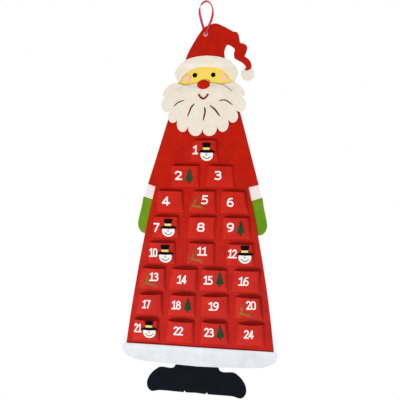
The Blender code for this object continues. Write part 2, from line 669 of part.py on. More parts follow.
def build_foot(cloths, swing):
    hem = mirrored_outline(HEM_SHARES, HEM_WIDTH, HEM_HEIGHT, top=HEM_TOP)
    tilted(felt_piece("hem", [hem], 2, cloths["white"], swing), HEM_TILT, HEM_TOP)
    top = HEM_BASE - BOOTS_TUCK
    boots = mirrored_outline(BOOT_SHARES, BOOTS_WIDTH, BOOTS_HEIGHT, BOOTS_SHIFT, top)
    tilted(felt_piece("boots", [boots], 0, cloths["black"], swing), BOOTS_TILT, top)


def pocket_section(width, corner, depth):
    """Half round at each side, flat across the front: (across, forward) points."""
    angles = [math.pi / 2 * step / CORNER_STEPS for step in range(CORNER_STEPS + 1)]
    left = [(corner * (1 - math.cos(a)) - width / 2, depth * math.sin(a)) for a in angles]
    return left + [(-x, y) for x, y in reversed(left)]


def pocket_mesh(red):
    """The patch of one pocket, its mouth at z = 0 and its seat on y = 0."""
    mesh = bmesh.new()
    skins = []
    for inset in (0.0, PATCH_FELT):
        skin = []
        for width, depth, z in ((POCKET_WIDTH, POCKET_DEPTH, 0.0),
                                (POCKET_BASE_WIDTH, PATCH_FELT, -POCKET_HEIGHT)):
            section = pocket_section(width - 2 * inset, POCKET_CORNER - inset, depth - inset)
            skin.append([mesh.verts.new((x, -y, z)) for x, y in section])
        skins.append(skin)
    (outer_top, outer_base), (inner_top, inner_base) = skins
    loops = ((outer_top, outer_base), (outer_base, inner_base), (inner_base, inner_top),
             (inner_top, outer_top))
    for start, end in loops:
        for k in range(len(start) - 1):
            mesh.faces.new((start[k], start[k + 1], end[k + 1], end[k]))
    for k in (0, -1):
        mesh.faces.new((outer_top[k], outer_base[k], inner_base[k], inner_top[k]))
    bmesh.ops.recalc_face_normals(mesh, faces=mesh.faces)
    data = bpy.data.meshes.new("pocket")
    mesh.to_mesh(data)
    mesh.free()
    data.materials.append(red)
    return data


def pocket_spots():
    """For each pocket, its middle and the drop of its mouth."""
    spots = []
    for row, (count, drop) in enumerate(zip(ROW_COUNTS, ROW_MOUTHS)):
        free = 2 * skirt_half_width(drop) - count * POCKET_WIDTH
        pitch = POCKET_WIDTH + free * GAP_SHARES[count]
        shift = ROW_SHIFT_SHARES[row] * POCKET_WIDTH
        for column in range(count):
            spots.append((shift + (column - (count - 1) / 2) * pitch, drop))
    return spots


def pocket_front(number, lift=0.0):
    """Places a flat design on a pocket's sloping front, in the pocket's own axes."""
    mouth = Matrix.Translation((0.0, -POCKET_DEPTH, 0.0))
    raised = Matrix.Translation((0.0, -lift, RAISED.get(number, 0.0)))
    return mouth @ Matrix.Rotation(FRONT_SLOPE, 4, "X") @ raised


def digit_strokes(digit, left, width, middle_drop):
    """Quads of one digit in a box of the given width, centred on the drop."""
    inner_width = width - DIGIT_STROKE
    inner_height = DIGIT_HEIGHT - DIGIT_STROKE
    x = left + DIGIT_STROKE / 2
    z = -middle_drop - inner_height / 2
    quads = []
    for line in DIGIT_SHARES[digit]:
        points = [(x + a * inner_width, z + b * inner_height) for a, b in line]
        quads += stroke(points, DIGIT_STROKE)
    return quads


def number_width(text):
    if len(text) > 1:
        return len(text) * PAIR_DIGIT_WIDTH - PAIR_OVERLAP
    return ONE_WIDTH if text == "1" else DIGIT_WIDTH


def pocket_layout(number):
    """Where a pocket's number starts, and its ornament's middle or, of a reindeer, its left."""
    width = number_width(str(number))
    if number in REINDEER:
        return DEER_LEFT + DEER_NECK_SHARE * DEER_WIDTH + DEER_GAP, DEER_LEFT
    if number in SNOWMEN:
        gap, beside = SNOWMAN_GAP, SNOW_BRIM_WIDTH
    elif number in TREES:
        gap, beside = TREE_GAP, TREE_WIDTH
    else:
        return NUMBER_SHIFT - width / 2, None
    left = ORNAMENT_SHIFT - (width + gap + beside) / 2
    return left, left + width + gap + beside / 2


def number_polygons(number):
    text = str(number)
    left, _ = pocket_layout(number)
    drop = NUMBER_DROP - (DEER_NUMBER_RISE if number in REINDEER else 0.0)
    each = PAIR_DIGIT_WIDTH if len(text) > 1 else number_width(text)
    quads = []
    for digit in text:
        quads += digit_strokes(digit, left, each, drop)
        left += each - PAIR_OVERLAP
    return quads


def build_pockets(cloths, swing):
    """The pockets, each fused with its number, and the ornaments glued to their fronts."""
    data = pocket_mesh(cloths["red"])
    ornaments = {number: build_snowman for number in SNOWMEN}
    ornaments |= {number: build_tree for number in TREES}
    ornaments |= {number: build_reindeer for number in REINDEER}
    for index, (x, drop) in enumerate(pocket_spots()):
        number = index + 1
        location = (CENTRE_LINE + x, POCKET_SEAT, EYELET_DROP - drop)
        pocket = place(f"pocket_{number:02d}", data, swing, location)
        raise_relief(pocket, number_polygons(number), pocket_front(number))
        if number in ornaments:
            ornaments[number](number, cloths, pocket)


def ornament(kind, number, polygons, cloth, pocket):
    """A flat felt ornament on a pocket's front."""
    mesh = bmesh.new()
    add_sheet(mesh, polygons, matrix=pocket_front(number, CLEAR))
    return thicken(finish(f"{kind}_{number:02d}", mesh, cloth, pocket), TRIM_FELT)


def build_snowman(number, cloths, pocket):
    _, middle = pocket_layout(number)
    brim_drop = SNOWMAN_DROP + CROWN_HEIGHT
    brim_middle = brim_drop + SNOW_BRIM_HEIGHT / 2
    head_drop = brim_middle + SNOW_HEAD_RADIUS * math.cos(math.pi / 4)
    top, waist = CROWN_WIDTH / 2, CROWN_WIDTH * CROWN_WAIST_SHARE / 2
    crown = [(middle - top, -SNOWMAN_DROP), (middle - waist, -brim_middle),
             (middle + waist, -brim_middle), (middle + top, -SNOWMAN_DROP)]
    brim = ellipse(middle, brim_middle, SNOW_BRIM_WIDTH / 2, SNOW_BRIM_HEIGHT / 2)
    head = ellipse(middle, head_drop, SNOW_HEAD_RADIUS)
    piece = ornament("snowman", number, [crown, brim, head], cloths["white"], pocket)
    band_top = brim_drop - HAT_BAND_HEIGHT
    band = [(middle - waist, -band_top), (middle - waist, -brim_drop),
            (middle + waist, -brim_drop), (middle + waist, -band_top)]
    nose = ellipse(middle, head_drop, SNOW_NOSE_RADIUS, None, SMALL_SEGMENTS)
    smile_drop = head_drop + 2 * SNOW_NOSE_RADIUS
    smile = stroke(arc_line(middle, smile_drop, SNOW_SMILE_WIDTH, SNOW_SMILE_SAG), SNOW_SMILE_LINE)
    raise_relief(piece, [band, nose, *smile], pocket_front(number, CLEAR + TRIM_FELT))


def build_tree(number, cloths, pocket):
    """A fir of equal tiers, each wider than the one above, with drooping branches."""
    tier = TREE_HEIGHT / TREE_TIERS
    right = [(0.0, 0.0)]
    for step in range(1, TREE_TIERS + 1):
        reach = TREE_WIDTH / 2 * step / TREE_TIERS
        right.append((reach, -tier * step))
        if step < TREE_TIERS:
            right.append((reach / 2, -tier * step + tier / TREE_TIERS))
    inner = -TREE_HEIGHT + tier / TREE_TIERS
    right += [(TRUNK_WIDTH / 2, inner), (TRUNK_WIDTH / 2, -TREE_HEIGHT - TRUNK_HEIGHT)]
    outline = right + [(-x, z) for x, z in reversed(right[1:])]
    _, middle = pocket_layout(number)
    outline = [(middle + x, z - TREE_DROP) for x, z in outline]
    ornament("tree", number, [outline], cloths["fir"], pocket)


def build_reindeer(number, cloths, pocket):
    _, left = pocket_layout(number)
    outline = [(left + x * DEER_WIDTH, -DEER_DROP - z * DEER_HEIGHT) for x, z in DEER_SHARES]
    ornament("reindeer", number, [outline], cloths["tan"], pocket)


def make_cloths():
    colours = {
        "red": (0.62, 0.02, 0.01), "white": (0.82, 0.80, 0.74), "skin": (0.92, 0.66, 0.16),
        "black": (0.012, 0.013, 0.016), "pink": (0.9, 0.5, 0.4), "green": (0.22, 0.4, 0.03),
        "dark_red": (0.2, 0.01, 0.01), "fir": (0.01, 0.12, 0.05), "tan": (0.45, 0.22, 0.08),
    }
    return {name: material(f"{name}_felt", colour, 0.95) for name, colour in colours.items()}


def main():
    clear_scene()
    cloths = make_cloths()
    satin = material("red_satin", (0.6, 0.02, 0.05), 0.35)
    metal = material("pale_metal", (0.8, 0.78, 0.75), 0.3, 1.0)
    swing = bpy.data.objects.new("swing_axis", None)
    bpy.context.scene.collection.objects.link(swing)
    swing.location = (0.0, 0.0, -EYELET_DROP)
    build_ribbon(satin)
    build_eyelet(metal, swing)
    build_hat(cloths["red"], cloths["white"], swing)
    build_face(cloths, swing)
    build_beard(cloths, swing)
    build_robe(cloths["red"], swing)
    build_arms(cloths["white"], cloths["green"], swing)
    build_foot(cloths, swing)
    build_pockets(cloths, swing)


main()
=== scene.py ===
"""Looks of the felt advent calendar: its felt, pockets, numbers, trimmings and ribbon.

Metres, +Z up, the front towards -Y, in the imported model's frame, whose origin is the point that
the ribbon hangs on. Heights are given as drops below it, so a larger drop is lower.
"""

import math

import bmesh
import bpy
import numpy as np
from mathutils import Matrix, Vector, noise
from mathutils.geometry import delaunay_2d_cdt


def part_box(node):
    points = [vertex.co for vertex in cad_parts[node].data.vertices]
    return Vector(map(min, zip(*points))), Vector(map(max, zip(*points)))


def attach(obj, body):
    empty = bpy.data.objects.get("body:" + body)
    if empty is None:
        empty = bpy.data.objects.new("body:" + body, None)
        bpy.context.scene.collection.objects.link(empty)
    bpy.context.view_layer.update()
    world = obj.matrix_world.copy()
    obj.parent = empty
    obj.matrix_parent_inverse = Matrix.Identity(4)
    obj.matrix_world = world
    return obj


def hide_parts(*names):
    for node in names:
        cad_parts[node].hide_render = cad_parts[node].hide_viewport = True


for ready_made in ("Cube", "Light"):
    if ready_made in bpy.data.objects:
        bpy.data.objects.remove(bpy.data.objects[ready_made])

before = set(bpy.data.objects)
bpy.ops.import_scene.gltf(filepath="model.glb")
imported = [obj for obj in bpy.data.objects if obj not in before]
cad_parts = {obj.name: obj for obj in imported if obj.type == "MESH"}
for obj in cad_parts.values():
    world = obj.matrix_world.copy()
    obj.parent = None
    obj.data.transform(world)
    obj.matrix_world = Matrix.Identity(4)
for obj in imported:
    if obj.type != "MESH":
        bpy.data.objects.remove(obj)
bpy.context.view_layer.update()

MM = 0.001

# The camera that took the photograph, found from the hanging's own sizes
CAMERA_PLACE = Vector((0.237, -1.643, -0.6124))
CAMERA_YAW = math.radians(8.48)
CAMERA_PITCH = math.radians(2.52)
CAMERA_ROLL = math.radians(1.09)
SENSOR = 36.0
LENS = 55.8
FLOOR_HEIGHT = -1.34
FLOOR_RADIUS = 0.8
ROOM_LIGHT = 0.58
KEY_AIM = (0.0, 0.0, -0.55)
KEY_WAY = (-0.58, -1.0, -0.78)
KEY_DISTANCE = 5.0
KEY_SIZE = 1.1
KEY_POWER = 168

# Felt, and the gap between pieces that touch
FELT = 3.0 * MM
PATCH_FELT = 2.0 * MM
TRIM_FELT = 1.2 * MM
CLEAR = 0.3 * MM
LAYER = FELT + CLEAR
# How far felt sinks where the piece beneath it ends, and where the hat ends under the brim
SINK = 3.0 * MM
HAT_EDGE = 0.171
RIM = 0.7 * MM
TRIM_RIM = 0.35 * MM
FINE_RIM = 0.2 * MM
BRANCH_RIM = 0.12 * MM
CENTRE_LINE = -3.0 * MM
# The slack felt lies still down to a drop, below which its waves grow over a length
STILL_DROP = 0.13
WAVE_GROWTH = 0.12
WAVE_HEIGHT = 1.1 * MM

# Hat
EYELET_DROP = 0.091
EYELET_BORE = 0.0035
EYELET_FLANGE_RADIUS = 0.006
EYELET_HOLE = 0.0045
EYELET_LIP = 0.0007
EYELET_SEGMENTS = 64
HAT_TOP = 0.062
HAT_WIDTH = 0.184
HAT_HEIGHT = 0.130
POMPOM_RADIUS = 0.018
BRIM_TOP = 0.150
BRIM_WIDTH = 0.171
BRIM_HEIGHT = 0.0715
BRIM_SHIFT = 0.006

# Face
FACE_WIDTH = 0.154
FACE_HEIGHT = 0.114
EYE_RADIUS = 0.0062
EYE_SPACING = 0.050
EYE_RISE = 0.0199
CHEEK_RADIUS = 0.0093
CHEEK_SPACING = 0.100
CHEEK_RISE = 0.0108
CHEEK_SHIFT = 0.004
NOSE_WIDTH = 0.034
NOSE_HEIGHT = 0.0265
NOSE_DROP = 0.007
NOSE_SHIFT = -0.0003
NOSE_RIM = 1.0 * MM

# Beard, moustache and mouth
BEARD_TOP = 0.222
BEARD_WIDTH = 0.2265
BEARD_HEIGHT = 0.146
BEARD_LINES = (0.003, 0.004, 0.0042, 0.0042, 0.003)
LINE_TAPER = 0.5
LINE_THICK = 0.7 * MM
LINE_RIM = 0.25 * MM
MOUSTACHE_WIDTH = 0.154
MOUSTACHE_HEIGHT = 0.031
MOUSTACHE_DROP = 0.003
MOUTH_WIDTH = 0.0238
MOUTH_SAG = 0.0105
MOUTH_LINE = 0.0047
MOUTH_GAP = 0.0067

# Robe, sleeves and mittens
ROBE_TOP = 0.2617
SHOULDER_WIDTH = 0.165
SHOULDER_SHIFT = 0.0055
ROBE_LEAN = 0.0024
SLEEVE_TIP = 0.4977
SLEEVE_SPAN = 0.299
SLEEVE_OPENING = 0.024
ARM_ANGLE = math.radians(17)
WAIST = SLEEVE_TIP + SLEEVE_OPENING * math.sin(ARM_ANGLE)
WAIST_WIDTH = SLEEVE_SPAN - 2 * SLEEVE_OPENING * math.cos(ARM_ANGLE) - 2.6 * MM
WAIST_SHIFT = -3.6 * MM
SKIRT_WIDTH = 0.394
SKIRT_FLARE = 0.35
CUFF_LENGTH = 0.035
CUFF_WIDTH = 0.039
CUFF_INSET = 0.001
TUCK = 0.010
SEAM_GAP = 0.0005
MITTEN_WIDTH = 0.050
MITTEN_LENGTH = 0.100

# Hem and boots, both sewn on a little out of level
HEM_TOP = 0.9285
HEM_WIDTH = 0.413
HEM_HEIGHT = 0.050
HEM_OVERLAP = 0.016
HEM_TILT = math.radians(1.0)
HEM_GAPE = 1.6 * MM
HEM_SEAM_DROP = 4 * MM
BOOTS_TOP = 0.940
BOOTS_WIDTH = 0.266
BOOTS_HEIGHT = 0.114
BOOTS_SHIFT = -0.0033
BOOTS_TILT = math.radians(1.5)

# Outlines. Each run is a smooth stretch, and runs meet at corners. Across, a share is of the
# piece's width, or of half of it where only one side is given; down, of its height.
HAT_SHARES = (
    ((-0.297, 0.83), (-0.217, 0.538), (-0.034, 0.118), (0.078, 0.026), (0.17, 0.0),
     (0.293, 0.076), (0.413, 0.174), (0.473, 0.195), (0.505, 0.279), (0.522, 0.418)),
    ((0.522, 0.418), (0.582, 0.443), (0.625, 0.497), (0.625, 0.573), (0.592, 0.702)),
    ((0.592, 0.702), (0.652, 0.768), (0.685, 0.839), (0.696, 0.927), (0.668, 0.98), (0.614, 1.0)),
    ((0.614, 1.0), (0.6, 0.97), (0.614, 0.927), (0.571, 0.852), (0.511, 0.796), (0.446, 0.742)),
    ((0.446, 0.742), (0.435, 0.65), (0.446, 0.57), (0.418, 0.508), (0.337, 0.458),
     (0.297, 0.584), (0.302, 0.7), (0.319, 0.83)),
    ((0.319, 0.83), (-0.297, 0.83)),
)
POMPOM_SHARES = (0.639, 1.07)
BRIM_SHARES = (
    ((0.0, 0.0), (0.34, 0.04), (0.63, 0.145), (0.82, 0.3), (0.95, 0.477), (1.0, 0.69), (0.9, 1.0)),
    ((0.9, 1.0), (0.845, 1.0)),
    ((0.845, 1.0), (0.71, 0.738), (0.543, 0.573), (0.294, 0.46), (0.0, 0.43)),
)
BEARD_TOP_SHARES = ((0.0, 0.105), (0.18, 0.1), (0.43, 0.06), (0.684, 0.0))
# Each lobe of the beard: its tip, and the notch that ends it
BEARD_LOBE_SHARES = (
    ((0.945, 0.155), (0.895, 0.268)),
    ((1.0, 0.48), (0.785, 0.535)),
    ((0.8, 0.725), (0.605, 0.703)),
    ((0.53, 0.915), (0.342, 0.82)),
    ((0.195, 1.0), (0.0, 0.872)),
)
LOBE_FULLNESS = 0.88
BEARD_LINE_SHARES = (
    ((-0.7, 0.45), (-0.6, 0.38), (-0.455, 0.338)),
    ((-0.21, 0.405), (-0.29, 0.485), (-0.365, 0.64)),
    ((0.034, 0.472), (0.05, 0.556), (0.01, 0.715)),
    ((0.165, 0.44), (0.29, 0.52), (0.4, 0.64)),
    ((0.38, 0.352), (0.53, 0.345), (0.7, 0.43)),
)
MOUSTACHE_SHARES = (
    ((0.0, 0.16), (0.18, 0.0), (0.42, 0.045), (0.65, 0.2), (0.84, 0.48), (1.0, 0.81)),
    ((1.0, 0.81), (0.84, 0.97), (0.58, 1.0), (0.32, 0.95), (0.15, 0.82), (0.0, 0.66)),
)
MOUTH_SEAT_SHARE = 0.82
MITTEN_SHARES = (
    (0.08, 0.26), (0.18, 0.485), (0.26, 0.71), (0.21, 0.862), (0.03, 0.97),
    (-0.25, 1.0), (-0.51, 0.934), (-0.65, 0.73), (-0.73, 0.42),
)
HEM_SHARES = (
    ((0.0, 0.0), (0.955, 0.0)),
    ((0.955, 0.0), (0.985, 0.05), (1.0, 0.16), (0.995, 0.34), (0.965, 0.56), (0.9, 0.73),
     (0.8, 0.85), (0.56, 0.935), (0.0, 1.0)),
)
BOOT_SHARES = (
    ((0.0, 0.0), (0.43, 0.0)),
    ((0.43, 0.0), (0.43, 0.333)),
    ((0.43, 0.333), (0.46, 0.404), (0.534, 0.434), (0.725, 0.425), (0.824, 0.482),
     (0.916, 0.583), (0.977, 0.7), (1.0, 0.807), (0.985, 0.912), (0.924, 0.991),
     (0.855, 1.0), (0.74, 0.97), (0.573, 0.965), (0.248, 0.97)),
    ((0.248, 0.97), (0.223, 0.93)),
    ((0.223, 0.93), (0.198, 0.97)),
    ((0.198, 0.97), (0.0, 0.96)),
)

# Ribbon: across and down as shares of the loop, then from front to back, then its turn from
# flat on the hat to flat over the peg
RIBBON_WIDTH = 0.0066
RIBBON_THICK = 0.0006
LOOP_WIDTH = 0.037
LOOP_SHARES = (
    (0.2, 0.88, 0.0, 0.0), (0.52, 0.72, 0.0, 0.0), (0.76, 0.6, 0.05, 0.05),
    (0.95, 0.45, 0.12, 0.2), (0.98, 0.3, 0.22, 0.5), (0.84, 0.155, 0.35, 0.8),
    (0.45, 0.04, 0.42, 1.0), (0.0, 0.0, 0.45, 1.0), (-0.45, 0.035, 0.5, 1.0),
    (-0.82, 0.11, 0.55, 0.8), (-1.0, 0.22, 0.65, 0.5), (-0.97, 0.36, 0.75, 0.25),
    (-0.78, 0.52, 0.9, 0.1), (-0.57, 0.67, 1.0, 0.0), (-0.35, 0.81, 1.0, 0.0),
)
PEG_TURN = np.array((0.0, -0.85, 0.5))
BORE_WIDTH_SHARE = 0.84
BORE_RISE_SHARE = -0.35

# Pockets. Seams are sewn on a flat margin round the puffed part.
POCKET_DEPTH = 0.013
SEAM_MARGIN = 0.0024
BELLY_POWER = 0.45
CORNER_POWER = 14.0
MOUTH_TUCK = 2 * MM
# Each pocket from 1 on: its mouth's shift to the right and extra width in millimetres; its gape,
# as a share of the depth, and how round it bows; the sag of the mouth's middle and the fall of its
# right corner in millimetres; its number's width, and where the number's middle is from the
# mouth's middle, in millimetres
POCKET_ROWS = (
    (0, -3, 0.7, 0.3, 0, 0, 15.5, -24, -25), (-1, 7, 0.75, 0.2, 0.5, 0, 19.5, -17, -26),
    (1, -2, 0.7, 0.3, 0.5, 1, 19, -6, -25), (-1, 0, 0.85, 0.3, 0.5, 1, 22, -10, -27),
    (6, -8, 0.85, 0.3, 0.5, 0, 19, 5, -22), (-3, -5, 0.85, 0.3, 0.5, 1, 18.5, -9, -28),
    (1, -1, 0.85, 0.3, 0.5, 0, 18.5, -25, -29), (4, 5, 0.9, 0.3, 0.5, 0, 20.5, -1, -26),
    (-2, 1, 0.85, 0.3, 0.5, 0, 19, -15, -25), (0, 2, 0.9, 0.5, 1, 0, 23.5, -22, -27),
    (2, 2, 0.95, 0.5, 1, 1, 26.5, 4, -20), (2, -2, 0.9, 0.5, 1, 0, 25, -21, -25),
    (5, -4, 1.15, 0.4, 1, 1, 26, 5, -22), (5, 1, 1.2, 0.6, 1.5, 0.5, 26, -3, -27),
    (1, 0, 1.1, 0.6, 1, 1, 25, -15, -27), (3, 0, 1.1, 0.4, 1, 0, 27.5, -6, -27),
    (5, -6, 1.15, 0.5, 1.5, -1, 23.5, -8, -26), (3, -1, 1.15, 0.6, 1, 0, 26, -15, -26),
    (0, 3, 1.15, 0.6, 1.5, -1, 26.5, -2, -25), (-1, -4, 1.15, 0.4, 1, 1, 26.5, 8, -19),
    (1, -2, 1.1, 0.4, 1, 1, 22, -20, -21), (3, 2, 1.15, 0.5, 1.5, 1, 26, -4, -24),
    (-2, -1, 1.15, 0.5, 1, 1, 26, -13, -25), (2, 0, 1.2, 0.7, 2.5, 0, 26, -4, -25),
)

# Numbers. Strokes of the digits are in shares of the box that their centre lines fill.
DIGIT_HEIGHT = 0.0243
PAIR_HEIGHT = 0.0238
DIGIT_STROKE = 0.0042
PAIR_STROKE = 0.0037
PAIR_OVERLAP = 0.0012
NUMBER_THICK = 0.0008
BOWL_SHARES = ((0.0, 0.72), (0.1, 0.91), (0.5, 1.0), (0.9, 0.91), (1.0, 0.72))
DIGIT_SHARES = {
    "0": (((0.0, 0.3), *BOWL_SHARES, (1.0, 0.28), (0.9, 0.09), (0.5, 0.0), (0.1, 0.09), (0.0, 0.3)),),
    "1": (((0.6, 0.0), (0.6, 1.0)), ((0.55, 0.96), (0.05, 0.8)), ((0.05, 0.0), (1.0, 0.0))),
    "2": (((0.02, 0.8), (0.2, 0.96), (0.55, 1.0), (0.9, 0.88), (0.92, 0.66), (0.6, 0.4),
           (0.06, 0.02)), ((0.06, 0.0), (1.0, 0.0))),
    "3": (((0.05, 0.92), (0.45, 1.0), (0.88, 0.9), (0.88, 0.65), (0.4, 0.54)),
          ((0.4, 0.54), (0.9, 0.46), (1.0, 0.24), (0.8, 0.04), (0.4, 0.0), (0.02, 0.06))),
    "4": (((0.7, 0.0), (0.7, 1.0)), ((0.64, 0.96), (0.02, 0.28)), ((0.0, 0.25), (1.0, 0.25))),
    "5": (((0.9, 1.0), (0.12, 1.0)), ((0.12, 1.0), (0.12, 0.56)),
          ((0.12, 0.56), (0.5, 0.6), (0.9, 0.5), (1.0, 0.28), (0.8, 0.05), (0.4, 0.0),
           (0.02, 0.05))),
    "6": (((0.02, 0.3), (0.08, 0.66), (0.35, 0.92), (0.85, 1.0)),
          ((0.0, 0.28), (0.15, 0.52), (0.5, 0.58), (0.88, 0.5), (1.0, 0.28), (0.86, 0.07),
           (0.5, 0.0), (0.14, 0.07), (0.0, 0.28))),
    "7": (((0.0, 1.0), (1.0, 1.0)), ((0.94, 0.94), (0.38, 0.0))),
    "8": (((0.08, 0.76), (0.2, 0.95), (0.5, 1.0), (0.8, 0.95), (0.92, 0.76), (0.8, 0.58),
           (0.5, 0.53), (0.2, 0.58), (0.08, 0.76)),
          ((0.0, 0.26), (0.15, 0.48), (0.5, 0.53), (0.85, 0.48), (1.0, 0.26), (0.85, 0.06),
           (0.5, 0.0), (0.15, 0.06), (0.0, 0.26))),
    "9": (((0.98, 0.7), (0.92, 0.34), (0.65, 0.08), (0.2, 0.0)),
          ((1.0, 0.72), (0.85, 0.48), (0.5, 0.42), (0.12, 0.5), (0.0, 0.72), (0.14, 0.93),
           (0.5, 1.0), (0.86, 0.93), (1.0, 0.72))),
}
# Snowman heads: middle of each head from the middle of its pocket's mouth, in millimetres
SNOWMEN_MM = {1: (7, -38), 7: (9, -37), 10: (11, -37), 12: (13, -34), 21: (12, -31)}
SNOW_HEAD_RADIUS = 0.0168
# The hat's parts in millimetres from the head's middle, its crown as half a profile
CROWN_MM = ((8.9, 9.0), (8.8, 14.0), (8.9, 18.5), (9.8, 22.5), (11.5, 27.0), (12.0, 29.0),
            (11.3, 30.4), (6.0, 31.1), (0.0, 31.3))
CROWN_SHIFT = -0.8 * MM
BAND_MM = (12.8, 18.8)
BAND_HALF = 8.9 * MM
SNOW_BRIM_RISE = 9.8 * MM
SNOW_BRIM_WIDTH = 0.0435
SNOW_BRIM_HEIGHT = 0.0084
SNOW_BRIM_DROOP = 3.2 * MM
SNOW_BRIM_DIP = 1.2 * MM
SNOW_NOSE_MM = (-0.8, -0.8)
SNOW_NOSE_SIZE = (3.4 * MM, 2.5 * MM)
SNOW_SMILE_DROP = 4.6 * MM
SNOW_SMILE_WIDTH = 0.0185
SNOW_SMILE_SAG = 0.006
SNOW_SMILE_LINE = 0.0018

# Fir trees: middle of each from the middle of its pocket's mouth, in millimetres
TREES_MM = {2: (10, -24.5), 9: (11, -25), 15: (15, -21.5), 18: (15.5, -23), 23: (16, -22)}
TREE_HEIGHT = 0.036
# The tips of the drooping branches, across and down in millimetres, and how far the cuts go in
TREE_TIPS_MM = ((4.2, 6.5), (5.9, 12.2), (7.6, 18.0), (8.9, 23.5), (10.0, 29.0), (9.6, 33.5))
TREE_CUT_MM = (3.3, 1.3)
TREE_FOOT_MM = ((6.8, 32.6), (5.4, 35.6), (3.4, 33.6), (1.6, 35.0))
TRUNK_WIDTH = 0.004
TRUNK_HEIGHT = 0.005

# Reindeer: middle of each from the middle of its pocket's mouth, in millimetres
REINDEER_MM = {5: (-15, -28), 11: (-12, -31.5), 13: (-6, -29.5), 20: (-9, -32)}
DEER_WIDTH = 0.045
DEER_HEIGHT = 0.0415
# Each stroke of the leaping deer: its width in millimetres and its line in shares of the figure
DEER_STROKES = (
    (6.8, ((0.3, 0.73), (0.42, 0.77), (0.58, 0.8), (0.74, 0.82))),
    (4.4, ((0.33, 0.72), (0.33, 0.56), (0.36, 0.42))),
    (3.6, ((0.37, 0.4), (0.27, 0.42))),
    (2.1, ((0.32, 0.7), (0.15, 0.67), (0.04, 0.76))),
    (2.1, ((0.31, 0.76), (0.22, 0.84), (0.13, 0.94))),
    (2.4, ((0.74, 0.81), (0.85, 0.84), (0.97, 0.91))),
    (2.4, ((0.7, 0.84), (0.8, 0.92), (0.9, 0.97))),
    (2.0, ((0.8, 0.78), (0.85, 0.74))),
    (1.6, ((0.36, 0.38), (0.31, 0.24), (0.22, 0.15))),
    (1.5, ((0.32, 0.27), (0.22, 0.26))),
    (1.6, ((0.39, 0.38), (0.45, 0.2), (0.48, 0.04))),
    (1.5, ((0.44, 0.24), (0.55, 0.18))),
)

# How finely things are drawn
RUN_STEPS = 8
LOBE_STEPS = 24
ROUND_SEGMENTS = 240
SPACING = 1.6 * MM
FINE_SPACING = 0.55 * MM
GRID = 4.5 * MM
FINE_GRID = 2.0 * MM
CORNER_TURN = math.radians(32)
WELD = 1e-7
TINY_AREA = 0.8 * MM * MM
FOLD_ROUNDS = 60
RIM_STEPS = 3
# A piece's flat faces start this many rims in from its edge
HOLD_RIMS = 2.2
# Felt's unevenness: its height as a share of the thickness, and the size of its lumps
UNEVEN_SHARE = 0.035
LUMP = 0.007
POCKET_COLUMNS = 49
POCKET_LINES = 26
POCKET_UNEVEN = 0.12 * MM
POCKET_LUMP = 0.008
POCKET_RIM = 0.9 * MM
SEAM_POINTS = 30


# Flat outlines, as arrays of points across and up
def smooth_run(points, steps=RUN_STEPS):
    """Points of a smooth curve through the given ones, which are kept."""
    knots = np.array(points, float)
    if len(knots) < 3:
        return knots
    if np.allclose(knots[0], knots[-1]):
        knots = np.vstack([knots[-2], knots, knots[1]])
    else:
        knots = np.vstack([2 * knots[0] - knots[1], knots, 2 * knots[-1] - knots[-2]])
    t = np.linspace(0, 1, steps, endpoint=False)[:, None]
    curve = [0.5 * (2 * b + (c - a) * t + (2 * a - 5 * b + 4 * c - d) * t * t
                    + (3 * b - a - 3 * c + d) * t ** 3)
             for a, b, c, d in zip(knots, knots[1:], knots[2:], knots[3:])]
    return np.vstack([*curve, knots[-2:-1]])


def joined_runs(runs):
    """One line of points from runs that meet end to end."""
    return np.vstack([smooth_run(run)[:-1] for run in runs] + [np.array(runs[-1][-1:])])


def lobe_run(start, tip, end):
    """A full, rounded lobe from one notch out to its tip and back to the next."""
    start, tip, end = (np.array(p) for p in (start, tip, end))
    middle, span = (start + end) / 2, (end - start) / 2
    turns = (np.pi * np.arange(1, LOBE_STEPS) / LOBE_STEPS)[:, None]
    inner = middle - span * np.cos(turns) + (tip - middle) * np.sin(turns) ** LOBE_FULLNESS
    return np.vstack([inner, end])


def counter_clockwise(loop):
    across, up = loop[:, 0], loop[:, 1]
    turned = np.sum(across * np.roll(up, -1) - np.roll(across, -1) * up)
    return loop if turned > 0 else loop[::-1]


def mirrored(half, width, height, x=0.0, top=0.0):
    """A closed outline from the shares of its right half, top middle to bottom middle."""
    right = np.stack([half[:, 0] * width / 2, -top - half[:, 1] * height], 1)
    loop = np.vstack([right, right[-2:0:-1] * (-1, 1)]) + (x, 0.0)
    return counter_clockwise(loop)


def beard_outline():
    half = smooth_run(BEARD_TOP_SHARES)
    for tip, notch in BEARD_LOBE_SHARES:
        half = np.vstack([half, lobe_run(half[-1], tip, notch)])
    return mirrored(half, BEARD_WIDTH, BEARD_HEIGHT, top=BEARD_TOP)


def ellipse(x, drop, radius_x, radius_z=None, segments=ROUND_SEGMENTS):
    radius_z = radius_x if radius_z is None else radius_z
    turns = 2 * np.pi * np.arange(segments) / segments
    return np.stack([x + radius_x * np.cos(turns), -drop + radius_z * np.sin(turns)], 1)


def tilted(loop, angle, drop):
    """Turns an outline, seen from the front, clockwise about its middle at the drop."""
    across, up = loop[:, 0], loop[:, 1] + drop
    turned = (across * math.cos(angle) + up * math.sin(angle),
              up * math.cos(angle) - across * math.sin(angle) - drop)
    return np.stack(turned, 1)


